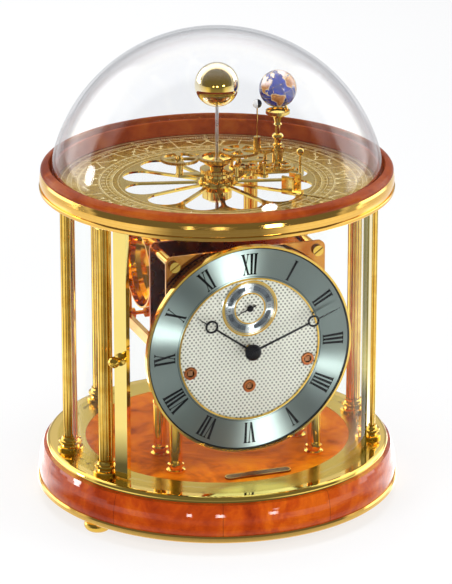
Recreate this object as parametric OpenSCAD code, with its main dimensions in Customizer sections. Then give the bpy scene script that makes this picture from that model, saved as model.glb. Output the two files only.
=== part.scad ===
// Mantel tellurium clock: a round brass case with six columns, glass walls and a glass door,
// a dial with three winding holes, and a sun, earth and moon train under a clear dome.
// Origin at the middle of the footprint, on the surface it stands on. The dial faces -Y.

/* [Case] */
// Radius of the brass ring under the wooden base
base_r = 132.5; // [128:0.5:140]
// Height of the feet
foot_h = 10; // [8:0.5:14]
// Height of the polished wooden base above its brass ring
wood_h = 22; // [18:0.5:26]
// Clear height between the base plate and the upper ring
case_h = 191; // [189:1:194]
// Radius of the circle that the columns and the glass stand on
column_circle = 111; // [110:0.5:112]
// Radius of a fluted column
column_r = 5.25; // [4.5:0.25:6]
// Thickness of the curved glass
glass_t = 3; // [2.5:0.25:4]
// Radius of the brass band of the upper ring
top_r = 128; // [126:0.5:130]
// Outer radius of the sphere that the dome is cut from
dome_r = 121.7; // [121:0.1:122]

/* [Dial] */
// Radius of the dial over its bezel
dial_r = 77.5; // [75:0.5:78.5]
// Height of the dial centre above the base plate
dial_rise = 89; // [88:0.5:90]
// Distance of the dial's front face from the clock's axis
dial_y = 68; // [67:0.5:70]
// Length of the minute hand from its pivot to its tip
minute_len = 71; // [66:1:72]
// Length of the hour hand from its pivot to its tip
hour_len = 51; // [46:1:52]

/* [Tellurium] */
// Radius of the opening in the engraved plate
opening_r = 69; // [66:0.5:70]
// Width of a spoke of the engraved plate
spoke_w = 3.4; // [2.5:0.1:5]
// Number of spokes
spokes = 12; // [10:1:14]
// Radius of the sun ball
sun_r = 16; // [14:0.5:17]
// Radius of the globe
earth_r = 13.5; // [12:0.25:14]
// Radius of the moon ball
moon_r = 3.3; // [2.5:0.1:3.5]
// Distance of the earth from the sun
earth_orbit = 44; // [43.6:0.1:44]
// Distance of the moon's rod from the earth's post
moon_orbit = 15; // [14.8:0.1:15.5]
// Tilt of the earth's axis
earth_tilt = 23.4; // [20:0.1:25]
// Direction of the arm at rest, seen from above
arm_angle = -12; // [-40:1:20]

/* [Movement] */
// Half of the width of a movement plate
plate_half = 60; // [58:1:62]
// Outer radius of the largest bell
bell_r = 29; // [27:0.5:30]

/* [Hidden] */
$fn = 96;
eps = 0.01;
run = 0.05;

// Heights of the case
ring_h = 5;
plate_t = 5;
z_ring = foot_h;
z_wood = z_ring + ring_h;
z_plate = z_wood + wood_h;
z_floor = z_plate + plate_t;
z_top = z_floor + case_h;
flange_t = 2;
z_tell = z_top + flange_t;
tell_t = 1.5;
z_deck = z_tell + tell_t;
brass_h = 12.5;
z_crown = z_top + brass_h;
crown_h = 5.5;
dome_t = 2;
z_dome = z_top - 7;
z_seat = z_top + 13;

// Case plan
column_angles = [65.5, 94, 147, 213, 266, 294.5];
foot_angles = [66, -66, 133, -133];
foot_circle = 119;
inlay_r = 97;
plate_r = 125.5;
collar_r = 9.5;
collar_h = 10;
cap_h = 6;
stile_angle = 57;
stile_w = 11;
stile_t = 4;
pin_r = 1.5;
tell_r = 115;
flange_in = 99;
wood_in = 117;
lip_in = 115.2;
seat_in = 117.4;
seat_out = 120.9;

// Dial and movement
z_dial = z_floor + dial_rise;
bezel_w = 1.5;
dial_in = dial_r - bezel_w - 0.1;
chapter_in = 53.4;
subdial_up = 31;
subdial_r = 20.9;
wind_x = 44.5;
wind_drop = 13;
wind_mid = 28;
front_y = 58.5;
front_t = 2;
back_y = 24;
back_t = 2;
plate_low = z_floor + 46;
plate_high = z_floor + 162;
pillar_x = 54;
pillar_z = [z_floor + 52, z_floor + 155];
great_teeth = 84;
side_teeth = 72;
centre_teeth = 12;
great_module = 2 * wind_mid / (great_teeth + centre_teeth);
balance_at = [22, z_dial - 14];
motion_gap = 13.2;
motion_angle = 130;

// Tellurium levels and gears
add_f = 0.7;
ded_f = 0.95;
axis_m = 0.5;
axis_teeth = 48;
idler_teeth = 40;
moon_m = 0.45;
sun_teeth = 60;
pinion_teeth = 15;
wide_teeth = 62;
small_teeth = 20;
z_arm = z_deck + 4.2;
arm_t = 2;
z_low = z_arm + arm_t + 1.3;
gear_t = 2;
z_bridge = z_low + gear_t + 3.2;
bridge_t = 1.5;
z_sun_wheel = z_bridge + bridge_t + 2.1;
z_wide = z_sun_wheel + gear_t + 1.4;
z_moon_arm = z_wide + gear_t + 0.8;
z_sun = z_deck + 71.9;
z_earth = z_deck + 67;
z_moon = z_deck + 56.5;
counter_u = 2 * sun_teeth * moon_m / 2;
idler_u = earth_orbit / 2;
pinion_gap = (sun_teeth + pinion_teeth) * moon_m / 2;
transfer_gap = (wide_teeth + small_teeth) * moon_m / 2;
moon_gap = small_teeth * moon_m;
pinion_angle = 8;
pinion_at = pinion_gap * [cos(pinion_angle), sin(pinion_angle)];
earth_at = [earth_orbit, 0];
transfer_at = meet(pinion_at, transfer_gap, earth_at, moon_gap);
bridge_posts = [[33, 9.2], [33, -9.2], [12.5, 12.8], [12.5, -12.8]];
moon_angle = 182;
pointer_in = 58.5;
pointer_out = 62.5;
pointer_angle = -41;

// Radii of the pivots and rods that more than one piece is made to
rod_r = 1.25;
post_r = 1.5;
stud_r = 1.1;
counter_pin_r = 1.2;
globe_pin_r = 1;
moon_rod_r = 0.5;
drive_r = 1.5;
arbor_r = 3;
square_w = 3.6;
centre_r = 1.5;
cannon_r = 2;
hand_seat_r = 1.2;
hour_pipe_r = 2.95;
minute_stud_r = 1;
seconds_r = 1.2;
staff_r = 0.8;
hammer_rod_r = 1.5;
pillar_pin_r = 2;
bell_rod_r = 2;

// Bells and hammers
bell_y = 8;
bell_z = z_floor + 132;
bell_x = -58;
bell_step = 14;
bell_depth = 22;
bell_t = 1.3;
hammer_y = 40;
hammer_z = z_floor + 86;
hammer_gap = 1.5;
drive_z = z_floor + 118;

// A point of a circle in the plane, from its radius and angle
function polar(r, a) = [r * cos(a), r * sin(a)];

// The crossing of two circles that lies on the left of the way from p to q
function meet(p, rp, q, rq) =
    let (d = norm(q - p), u = (q - p) / d, along = (rp * rp - rq * rq + d * d) / (2 * d))
    let (side = sqrt(rp * rp - along * along))
    p + along * u + side * [-u[1], u[0]];

// Direction from one point to another
function heading(p, q) = atan2(q[1] - p[1], q[0] - p[0]);

// Involute angle in degrees at a pressure angle
function inv(a) = tan(a) * 180 / PI - a;

// Half the angle that a tooth fills at radius r
function tooth_half(teeth, m, r) =
    let (rp = teeth * m / 2, rb = rp * cos(20))
    90 / teeth * 0.9 + inv(20) - (r > rb ? inv(acos(rb / r)) : 0);

// Outline of a spur gear with one tooth centred on the angle phase
function gear_points(teeth, m, phase = 0) =
    let (rp = teeth * m / 2, radii = [rp - ded_f * m, rp, rp + add_f * m])
    [for (i = [0:teeth - 1], s = [-1, 1], j = [0:2])
        let (k = s < 0 ? j : 2 - j)
        polar(radii[k], phase + 360 / teeth * i + s * tooth_half(teeth, m, radii[k]))];

// Phase of a gear that meshes with a gear of z1 teeth and phase p1 along the direction a
function mesh_phase(a, z1, p1, z2) = a + 180 + (a - p1) * z1 / z2 + 180 / z2;

module gear2d(teeth, m, phase = 0) {
    polygon(gear_points(teeth, m, phase));
}

// A rim, a hub and spokes cut from a toothed disc
module spoked_wheel(teeth, m, phase, bore, hub, rim, arms, h) {
    linear_extrude(h) difference() {
        gear2d(teeth, m, phase);
        circle(bore);
        for (i = [0:arms - 1]) rotate(i * 360 / arms) difference() {
            intersection() {
                circle(rim);
                polygon([[0, 0], polar(3 * rim, 12), polar(3 * rim, 360 / arms - 12)]);
            }
            circle(hub);
        }
    }
}

// A straight bar with round ends, between two points of the plane
module bar2d(p, q, w) {
    translate(p) rotate(heading(p, q)) translate([0, -w / 2]) square([norm(q - p), w]);
    translate(p) circle(w / 2);
    translate(q) circle(w / 2);
}

// A flat shape of the dial's plane, from y towards the viewer
module facing(y, h) {
    translate([0, -y, 0]) rotate([90, 0, 0]) linear_extrude(h) children();
}

// A turned shape about a line along Y: its profile is in radius and distance from the axis
module turned_y(x, z) {
    translate([x, 0, z]) rotate([90, 0, 0]) rotate_extrude() children();
}

// Places its children at an angle from the front, on a circle
module around(a, r) {
    rotate(a) translate([0, -r, 0]) children();
}

// Places its children in the arm's frame
module on_arm() {
    rotate(arm_angle) children();
}

module arc_wall(r, t, from, to, z0, z1) {
    rotate([0, 0, from - 90]) rotate_extrude(angle = to - from)
        translate([r - t / 2, z0]) square([t, z1 - z0]);
}

// The case

module feet() {
    bulge = [for (a = [-60:15:60]) [4 + 6 * cos(a), 4.3 + 4.3 * sin(a) / sin(60)]];
    color("gold") for (a = foot_angles) around(a, foot_circle) rotate_extrude()
        polygon(concat([[0, 0]], bulge, [[5.5, 8.9], [8, 9.2], [8, foot_h], [0, foot_h]]));
}

module base_bottom_ring() {
    color("gold") rotate_extrude() translate([0, z_ring]) polygon([[108, 0], [base_r - 1, 0],
        [base_r, 1], [base_r, ring_h - 1.2], [base_r - 0.8, ring_h], [108, ring_h]]);
}

module wooden_base() {
    side = [for (z = [0:2:wood_h]) [base_r - 1.2 - 0.0125 * pow(z - 5, 2), z_wood + z]];
    color("orangered") rotate_extrude()
        polygon(concat([[0, z_wood]], side, [[0, z_plate]]));
}

module base_top_plate() {
    edge = [for (a = [0:15:90]) [plate_r - 3 + 3 * cos(a), z_floor - 3 + 3 * sin(a)]];
    color("goldenrod") difference() {
        rotate_extrude() polygon(concat([[inlay_r, z_plate], [plate_r, z_plate]], edge,
            [[inlay_r, z_floor]]));
        around(stile_angle, column_circle) translate([0, 0, z_plate - 1])
            cylinder(plate_t + 2, pin_r, pin_r);
    }
}

module wood_inlay() {
    color("darkorange") translate([0, 0, z_plate]) cylinder(plate_t - 0.2, inlay_r - 0.1, inlay_r - 0.1);
}

module name_plaque() {
    color("gold") translate([0, -86, z_floor - 0.2]) linear_extrude(1.3) bar2d([-21, 0], [21, 0], 8);
}

module column_shafts() {
    color("gold") for (a = column_angles) around(a, column_circle)
        translate([0, 0, z_floor + collar_h]) linear_extrude(case_h - collar_h - cap_h) difference() {
            circle(column_r);
            for (i = [0:11]) rotate(i * 30) translate([column_r + 0.25, 0]) circle(0.9, $fn = 32);
        }
}

module column_collars() {
    r = collar_r;
    color("gold") for (a = column_angles) around(a, column_circle) {
        rotate_extrude() translate([0, z_floor]) polygon([[0, 0], [r, 0], [r, 1.6], [r - 0.5, 2.2],
            [r - 2.6, 2.6], [r - 3, 3.6], [r - 2.4, 4.6], [r - 1.2, 5], [r - 0.9, 6], [r - 1.2, 7],
            [r - 2.6, 7.4], [r - 3.2, 8.6], [r - 3.2, collar_h], [0, collar_h]]);
        rotate_extrude() translate([0, z_top]) polygon([[0, 0], [8.6, 0], [8.6, -1.4], [7.6, -2],
            [6.6, -2.4], [6.4, -3.4], [7, -4], [7, -5], [6.3, -cap_h], [0, -cap_h]]);
    }
}

// The room that the columns and their collars need, with a little clearance
module column_room() {
    for (a = column_angles) around(a, column_circle) {
        translate([0, 0, z_floor - 1]) cylinder(case_h + 2, column_r + 0.15, column_r + 0.15);
        translate([0, 0, z_floor - 1]) cylinder(collar_h + 1.2, collar_r + 0.2, collar_r + 0.2);
        translate([0, 0, z_top - cap_h - 0.2]) cylinder(cap_h + 2, 8.8, 8.8);
    }
}

module glass_panels() {
    color("lightcyan", 0.4) difference() {
        for (i = [0:4]) arc_wall(column_circle, glass_t, column_angles[i] + 1, column_angles[i + 1] - 1,
            z_floor, z_top);
        column_room();
    }
}

module stile_shape(a, grow) {
    around(a, column_circle) translate([-stile_w / 2 - grow, -stile_t / 2 - grow, z_floor + 1 - grow])
        cube([stile_w + 2 * grow, stile_t + 2 * grow, case_h - 2 + 2 * grow]);
}

module door_glass() {
    color("lightcyan", 0.4) difference() {
        arc_wall(column_circle, glass_t, -stile_angle + 1, stile_angle - 1, z_floor + 2, z_top - 2);
        stile_shape(stile_angle, run);
        stile_shape(-stile_angle, run);
    }
}

module door_stiles() {
    color("gold") {
        stile_shape(-stile_angle, 0);
        difference() {
            stile_shape(stile_angle, 0);
            around(stile_angle, column_circle) {
                translate([0, 0, z_floor]) cylinder(6, pin_r + run, pin_r + run);
                translate([0, 0, z_top - 6]) cylinder(6, pin_r + run, pin_r + run);
            }
        }
    }
}

module door_hinge_pins() {
    color("goldenrod") around(stile_angle, column_circle) {
        translate([0, 0, z_plate + 0.5]) cylinder(plate_t + 4.5, pin_r, pin_r);
        translate([0, 0, z_top - 5]) cylinder(5 + flange_t - 0.5, pin_r, pin_r);
    }
}

module door_knob() {
    color("gold") around(-stile_angle, column_circle + stile_t / 2)
        translate([0, 0, z_floor + 91]) rotate([90, 0, 0]) rotate_extrude() polygon(concat(
            [[0, 0], [4.6, 0], [4.6, 0.8], [3, 1.4], [1.9, 2], [1.9, 3.6]],
            [for (a = [-60:15:90]) [4.2 * cos(a), 7.2 + 4.2 * sin(a)]]));
}

module top_brass_ring() {
    r = top_r;
    color("goldenrod") difference() {
        rotate_extrude() translate([0, z_top]) polygon([[flange_in, 0], [r - 0.4, 0], [r, 0.4],
            [r, 2.2], [r - 0.4, 2.6], [r - 1.5, 2.7], [r - 1.5, 3.5], [r - 0.8, 3.8], [r - 0.4, 6],
            [r - 0.5, 8.4], [r - 1, 10.6], [r - 1.8, brass_h], [wood_in + run, brass_h],
            [wood_in + run, flange_t], [flange_in, flange_t]]);
        around(stile_angle, column_circle) translate([0, 0, z_top - 1])
            cylinder(flange_t + 0.5, pin_r, pin_r);
    }
}

module top_wood_ring() {
    r = top_r;
    color("sienna") rotate_extrude() translate([0, z_crown]) polygon([[lip_in, z_deck - z_crown],
        [wood_in, z_deck - z_crown], [wood_in, 0], [r - 1.6, 0], [r - 1.2, 0.8], [r - 1.3, 1.8],
        [r - 2, 3], [r - 3.2, 4.1], [r - 4.6, 4.9], [r - 6, 5.4], [r - 7, crown_h],
        [seat_out, 5.2], [seat_out - 0.3, 4.8], [seat_out - 0.3, z_seat - z_crown],
        [seat_in, z_seat - z_crown], [seat_in, 2], [seat_in - 0.4, 2.6], [lip_in + 0.5, 2.6],
        [lip_in, 2.2]]);
}

module glass_dome() {
    color("lightcyan", 0.25) translate([0, 0, z_dome]) difference() {
        sphere(dome_r);
        sphere(dome_r - dome_t);
        translate([-150, -150, z_seat - z_dome - 200]) cube([300, 300, 200]);
    }
}

// The tellurium

module tellurium_plate() {
    half = 180 / spokes;
    mid = (opening_r + spoke_w / 2) / (1 + sin(half));
    end = opening_r - mid;
    apex = spoke_w / 2 / sin(half);
    color("gold") translate([0, 0, z_tell]) linear_extrude(tell_t) difference() {
        circle(tell_r - 0.1);
        circle(5.05);
        for (i = [0:spokes - 1]) rotate(2 * half * i) difference() {
            union() {
                translate([mid, 0]) circle(end);
                polygon([[apex, 0], [mid, 0] + polar(end, -90 - half), [mid, 0] + polar(end, 90 + half)]);
            }
            circle(15);
        }
    }
}

module centre_hub() {
    color("orange") difference() {
        union() {
            rotate_extrude() translate([0, z_deck]) polygon([[0, -14.5], [7, -14.5], [10.8, -12],
                [11, -6], [8, -4], [8, -tell_t], [5, -tell_t], [5, 0], [13.5, 0], [13.5, 1.2], [12.8, 1.7],
                [6, 1.7], [6, z_low - z_deck], [3, z_low - z_deck],
                [3, z_bridge - z_deck + 1], [0, z_bridge - z_deck + 1]]);
            for (s = [-1, 1]) rotate(-20) translate([9.7 * s, 0, z_deck + 1.7]) difference() {
                cylinder(1.7, 2.2, 2.2);
                translate([-3, -0.3, 1]) cube([6, 0.6, 1]);
            }
        }
        translate([0, 0, z_low]) cylinder(20, rod_r, rod_r);
        translate([0, 0, z_deck - 15]) cylinder(11, drive_r + run, drive_r + run);
    }
}

module drive_arbor() {
    color("silver") {
        translate([0, 0, drive_z - 2.8]) cylinder(z_deck - 2.2 - drive_z, drive_r, drive_r);
        translate([0, 0, drive_z + 0.1]) cylinder(1.5, 3, 3);
        translate([0, 0, drive_z + 1.3]) linear_extrude(2.5) gear2d(24, 0.6);
    }
}

module sun_wheel() {
    z1 = z_sun_wheel;
    color("gold") {
        translate([0, 0, z_low]) linear_extrude(gear_t) difference() {
            gear2d(axis_teeth, axis_m);
            circle(3);
        }
        rotate_extrude() polygon([[3, z_low + gear_t], [5, z_low + gear_t], [5, z_bridge - 1.6],
            [7.5, z_bridge - 0.6], [10.2, z_bridge + 1.4], [12.2, z1], [10.8, z1],
            [9, z1 - 1.6], [6.5, z1 - 3], [4.2, z1 - 3.6], [4.2, z1 - 1.2],
            [rod_r, z1 - 1.2], [rod_r, z_bridge + 1], [3, z_bridge + 1]]);
        translate([0, 0, z1]) linear_extrude(gear_t) difference() {
            gear2d(sun_teeth, moon_m);
            circle(10.8);
        }
    }
}

module sun_rod() {
    color("silver") {
        translate([0, 0, z_low + 0.5]) cylinder(z_sun - sun_r + 6 - z_low - 0.5, rod_r, rod_r);
        translate([0, 0, z_sun_wheel - 1.2]) cylinder(2, 2.1, 1.7);
    }
}

module sun_ball() {
    color("gold") translate([0, 0, z_sun]) difference() {
        sphere(sun_r);
        translate([0, 0, -sun_r - 1]) cylinder(7, rod_r, rod_r);
    }
}

module orbit_arm() {
    middle = [idler_u, 0];
    root = 0.7;
    color("orange") on_arm() {
        translate([0, 0, z_arm]) difference() {
            linear_extrude(arm_t) {
                circle(10.5);
                bar2d([-counter_u, 0], [60, 0], 6.5);
                for (p = bridge_posts) {
                    bar2d(middle + 0.2 * (p - middle), p, 4.4);
                    translate(p) circle(3);
                }
                translate(middle) circle(6);
            }
            translate([0, 0, -1]) cylinder(arm_t + 2, 6 + run, 6 + run);
        }
        translate([idler_u, 0, z_arm + root]) cylinder(arm_t + 5 - root, post_r, post_r);
        translate([earth_orbit, 0, z_arm + root])
            cylinder(z_deck + 39.5 - z_arm - root, post_r, post_r);
        translate([-counter_u, 0]) rotate_extrude() polygon([[0, z_arm + root],
            [2.6, z_arm + root], [2.6, z_sun_wheel - 0.2], [counter_pin_r, z_sun_wheel - 0.2],
            [counter_pin_r, z_sun_wheel + gear_t + 2], [0, z_sun_wheel + gear_t + 2]]);
    }
}

module gear_bridge() {
    color("gold") on_arm() {
        for (p = bridge_posts) translate([p[0], p[1], z_arm + arm_t])
            cylinder(z_bridge - z_arm - arm_t + eps, 1.4, 1.4);
        difference() {
            union() {
                translate([0, 0, z_bridge]) linear_extrude(bridge_t) {
                    bar2d(bridge_posts[2], pinion_at, 4);
                    bar2d(bridge_posts[3], pinion_at, 4);
                    bar2d(pinion_at, earth_at, 4.4);
                    bar2d(bridge_posts[0], earth_at, 4);
                    bar2d(bridge_posts[1], earth_at, 4);
                    translate(earth_at) circle(6);
                }
                translate([earth_orbit, 0, z_bridge]) cylinder(z_wide - z_bridge - 0.1, 3.8, 3.8);
                for (p = [pinion_at, transfer_at]) translate([p[0], p[1], z_bridge + bridge_t - eps])
                    cylinder(z_wide + gear_t + 0.3 - z_bridge - bridge_t, stud_r, stud_r);
            }
            translate([earth_orbit, 0, z_bridge - 1]) cylinder(12, 2.8, 2.8);
        }
    }
}

// Phases of the wheels in the arm's frame: the fixed wheels stand still with the clock
fixed_phase = -arm_angle;
axis_phase = mesh_phase(0, axis_teeth, fixed_phase, idler_teeth);
carrier_phase = mesh_phase(0, idler_teeth, axis_phase, axis_teeth);
counter_phase = mesh_phase(180, sun_teeth, fixed_phase, sun_teeth);
pinion_phase = mesh_phase(pinion_angle, sun_teeth, fixed_phase, pinion_teeth);
transfer_phase = mesh_phase(heading(pinion_at, transfer_at), wide_teeth, pinion_phase, small_teeth);
moon_phase = mesh_phase(heading(transfer_at, earth_at), small_teeth, transfer_phase, small_teeth);

module counter_wheel() {
    color("gold") on_arm() translate([-counter_u, 0, z_sun_wheel]) {
        spoked_wheel(sun_teeth, moon_m, counter_phase, counter_pin_r + run, 3, 11.6, 4, gear_t);
        translate([0, 0, gear_t - eps]) linear_extrude(0.6) difference() {
            circle(2.4);
            circle(counter_pin_r + run);
        }
    }
}

module axis_idler() {
    color("gold") on_arm() translate([idler_u, 0, z_low]) {
        spoked_wheel(idler_teeth, axis_m, axis_phase, post_r + run, 3.2, 8, 4, gear_t);
        translate([0, 0, -1.1]) linear_extrude(1.1 + eps) difference() {
            circle(3.2);
            circle(post_r + run);
        }
    }
}

module moon_idler() {
    color("gold") on_arm() translate([pinion_at[0], pinion_at[1], z_sun_wheel]) {
        linear_extrude(gear_t) difference() {
            gear2d(pinion_teeth, moon_m, pinion_phase);
            circle(stud_r + run);
        }
        translate([0, 0, gear_t - eps]) linear_extrude(1.4 + 2 * eps) difference() {
            circle(2.2);
            circle(stud_r + run);
        }
        translate([0, 0, gear_t + 1.4])
            spoked_wheel(wide_teeth, moon_m, pinion_phase, stud_r + run, 3, 12, 5, gear_t);
    }
}

module moon_transfer_wheel() {
    color("gold") on_arm() translate([transfer_at[0], transfer_at[1], z_wide - 0.3])
        linear_extrude(gear_t + 0.4) difference() {
            gear2d(small_teeth, moon_m, transfer_phase);
            circle(stud_r + run);
        }
}

module moon_arm() {
    color("gold") on_arm() translate([earth_orbit, 0, 0]) {
        difference() {
            union() {
                translate([0, 0, z_wide]) linear_extrude(gear_t) gear2d(small_teeth, moon_m, moon_phase);
                translate([0, 0, z_wide + gear_t - eps])
                    cylinder(z_moon_arm - z_wide - gear_t + 0.5, 3.6, 3.6);
                translate([0, 0, z_moon_arm]) linear_extrude(1.4) {
                    circle(5);
                    rotate(moon_angle) bar2d([0, 0], [moon_orbit, 0], 3);
                }
            }
            translate([0, 0, z_wide - 1]) cylinder(12, 2.6, 2.6);
        }
        rotate(moon_angle) translate([moon_orbit, 0, z_moon_arm]) {
            cylinder(9.5, 2.6, 2.6);
            cylinder(z_moon - moon_r + 2 - z_moon_arm, moon_rod_r, moon_rod_r);
        }
    }
}

module moon_ball() {
    color("white") on_arm() translate([earth_orbit, 0, 0]) rotate(moon_angle)
        translate([moon_orbit, 0, z_moon]) difference() {
            sphere(moon_r);
            translate([0, 0, -moon_r - 1]) cylinder(3, moon_rod_r, moon_rod_r);
        }
}

// Places its children at the middle of the globe, on its inclined axis
module at_globe() {
    on_arm() translate([earth_orbit, 0, z_earth]) rotate(-arm_angle) rotate([0, -earth_tilt, 0])
        children();
}

module earth_carrier() {
    z0 = z_low - 1.2;
    z1 = z_moon_arm;
    bore = post_r + run;
    color("gold") {
        on_arm() translate([earth_orbit, 0, 0]) {
            translate([0, 0, z_low])
                spoked_wheel(axis_teeth, axis_m, carrier_phase, bore, 3.6, 10, 5, gear_t);
            rotate_extrude() polygon([[bore, z0], [3.4, z0], [3.4, z_low + gear_t + 0.4],
                [2.5, z_low + gear_t + 0.6], [2.5, z1 + 2], [3.6, z1 + 2.4], [3.6, z1 + 3.6],
                [2.3, z1 + 4.2], [2.3, z1 + 7], [3.6, z1 + 8], [4.2, z1 + 9.4], [3.6, z1 + 10.6],
                [2, z1 + 11.6], [2, z1 + 17], [3, z1 + 18], [2.2, z1 + 19.4], [3.4, z_deck + 46],
                [8.7, z_deck + 48.8], [8.7, z_deck + 51], [7.9, z_deck + 51], [7.9, z_deck + 49.4],
                [2.5, z_deck + 48], [0, z_deck + 48], [0, z_deck + 40.5], [bore, z_deck + 40.5]]);
        }
        at_globe() translate([0, 0, -earth_r - 5.6]) cylinder(12.6, globe_pin_r, globe_pin_r);
    }
}

module earth_globe() {
    color("royalblue") at_globe() difference() {
        sphere(earth_r);
        translate([0, 0, -earth_r - 1]) cylinder(9, globe_pin_r + run, globe_pin_r + run);
    }
}

module date_pointer() {
    ball = 2.8;
    wire = 0.8;
    middle = (pointer_in + pointer_out) / 2;
    date_post = z_moon_arm - z_arm - arm_t - ball - 0.6;
    flat_at = 80;
    post_ball = [for (a = [-70:10:flat_at]) [ball * cos(a), date_post + ball * sin(a)]];
    color("gold") on_arm() {
        translate([0, 0, z_arm + arm_t]) linear_extrude(1.2) {
            intersection() {
                difference() {
                    circle(pointer_out);
                    circle(pointer_in);
                }
                polygon([[0, 0], polar(90, 2), polar(90, -20), polar(90, pointer_angle)]);
            }
            translate([middle, 0]) circle(ball);
        }
        translate([middle, 0, z_arm + arm_t]) rotate_extrude()
            polygon(concat([[0, 0], [wire, 0], [wire, date_post - ball + 0.2]], post_ball,
                [[0, date_post + ball * sin(flat_at)]]));
        rotate(pointer_angle) translate([pointer_in, 0, z_arm + arm_t - 4]) {
            difference() {
                translate([0, -6, 0]) cube([9, 12, 13]);
                translate([-1, -4, 2.4]) cube([11, 8, 20]);
            }
            translate([8.5, 0, 0]) linear_extrude(1)
                polygon([[0, -2], [4, -2], [24, -0.2], [24, 0.2], [4, 2], [0, 2]]);
        }
    }
}

// The dial

bush_r = 3.45;
wind_places = [[0, z_dial - wind_mid], [-wind_x, z_dial - wind_drop], [wind_x, z_dial - wind_drop]];
feet_places = [[-48, z_dial + 34], [48, z_dial + 34], [-20, z_dial - 38], [20, z_dial - 38]];

module dial_plate() {
    color("silver") {
        difference() {
            union() {
                facing(dial_y - 3, 1.5) translate([0, z_dial]) circle(dial_in);
                facing(dial_y - 1.6, 0.9) translate([0, z_dial]) circle(chapter_in - 1.3);
            }
            facing(dial_y - 5, 8) {
                translate([0, z_dial]) circle(3.3);
                translate([0, z_dial + subdial_up]) circle(seconds_r + 0.4);
                for (p = wind_places) translate(p) circle(bush_r + run);
            }
        }
        facing(front_y + front_t, dial_y - 3 - front_y - front_t + eps)
            for (p = feet_places) translate(p) circle(2, $fn = 32);
    }
}

module chapter_ring() {
    color("lightslategray") facing(dial_y - 1.5, 1.5) translate([0, z_dial]) difference() {
        circle(dial_in);
        circle(chapter_in);
    }
}

module dial_bezel() {
    color("gold") {
        facing(dial_y - 3, 4.4) translate([0, z_dial]) difference() {
            circle(dial_r);
            circle(dial_r - bezel_w);
        }
        facing(dial_y - 1.5, 2) translate([0, z_dial]) difference() {
            circle(chapter_in - 0.1);
            circle(chapter_in - 1.2);
        }
    }
}

module subdial() {
    color("gold") difference() {
        union() {
            facing(dial_y - 0.7, 0.6) translate([0, z_dial + subdial_up]) circle(subdial_r - 1);
            for (r = [[subdial_r, 1.2], [11.8, 1]]) facing(dial_y - 0.7, 1.3)
                translate([0, z_dial + subdial_up]) difference() {
                    circle(r[0]);
                    circle(r[0] - r[1]);
                }
        }
        facing(dial_y - 2, 4) translate([0, z_dial + subdial_up]) circle(seconds_r + 0.4);
    }
}

module winding_grommets() {
    bore = 2.8;
    color("chocolate") for (p = wind_places) turned_y(p[0], p[1]) polygon([[bore, dial_y - 3],
        [bush_r, dial_y - 3], [bush_r, dial_y - 0.7], [4.8, dial_y - 0.7], [4.8, dial_y - 0.2],
        [4.2, dial_y + 0.2], [bore, dial_y + 0.2]]);
}

// A hand of the ring type, pointing along X in its own plane
module hand2d(len, ring_at, ring_r, bore) {
    difference() {
        union() {
            circle(4.6);
            polygon([[0, -0.75], [ring_at, -0.6], [ring_at, 0.6], [0, 0.75]]);
            translate([ring_at, 0]) circle(ring_r);
            polygon([[ring_at, -0.6], [len, -0.15], [len, 0.15], [ring_at, 0.6]]);
        }
        translate([ring_at, 0]) circle(ring_r - 1.35);
        circle(bore);
    }
}

module minute_hand() {
    nut_r = 5.9;
    color("black") {
        facing(dial_y + 6.2, 0.8) translate([0, z_dial]) rotate(21)
            hand2d(minute_len, 49.5, 4.4, hand_seat_r);
        turned_y(0, z_dial) polygon(concat([[hand_seat_r, dial_y + 7.1], [nut_r, dial_y + 7.1]],
            [for (a = [0:15:90]) [nut_r * cos(a), dial_y + 7.8 + 3 * sin(a)]], [[0, dial_y + 9.2],
            [hand_seat_r, dial_y + 9.2]]));
    }
}

module hour_hand() {
    color("black") facing(dial_y + 3.6, 0.8) translate([0, z_dial]) rotate(144)
        hand2d(hour_len, 37, 4.8, hour_pipe_r);
}

module subdial_hand() {
    color("black") {
        facing(dial_y + 1, 0.6) translate([0, z_dial + subdial_up]) rotate(202) {
            circle(2.4);
            polygon([[-5, -0.5], [11, -0.15], [11, 0.15], [-5, 0.5]]);
        }
        facing(dial_y - 7, 9.2) translate([0, z_dial + subdial_up]) circle(seconds_r);
    }
}

// The movement

module movement_holes() {
    for (p = wind_places) translate(p) circle(arbor_r + run);
    translate([0, z_dial]) circle(centre_r + run);
    for (x = [-pillar_x, pillar_x], z = pillar_z) translate([x, z]) circle(pillar_pin_r);
}

module plate2d() {
    w = plate_half;
    h = plate_high - plate_low;
    difference() {
        union() {
            translate([-w, plate_low + 5]) square([2 * w, h - 10]);
            translate([5 - w, plate_low]) square([2 * w - 10, h]);
            for (x = [5 - w, w - 5], z = [plate_low + 5, plate_high - 5]) translate([x, z]) circle(5);
        }
        movement_holes();
    }
}

module front_plate() {
    stud = [0, z_dial] + polar(motion_gap, motion_angle);
    color("goldenrod") {
        facing(front_y, front_t) plate2d();
        facing(front_y + front_t - eps, 4) translate(stud) circle(minute_stud_r);
    }
}

module back_plate() {
    hole = balance_at;
    cock = [26, 0];
    color("goldenrod") {
        difference() {
            union() {
                facing(back_y, back_t) plate2d();
                translate([-5, -back_y, drive_z - 5]) cube([10, back_y + 5, 5]);
            }
            translate([0, 0, drive_z - 3]) cylinder(9, drive_r + run, drive_r + run);
            facing(back_y - 1, back_t + 2) translate(hole) circle(staff_r + run);
        }
        difference() {
            union() {
                facing(back_y - 12, 2) bar2d(hole, hole + cock, 8);
                facing(back_y - 10 - eps, 10) translate(hole + cock) circle(4);
            }
            facing(back_y - 14, 6) translate(hole) circle(staff_r + run);
        }
    }
}

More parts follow.
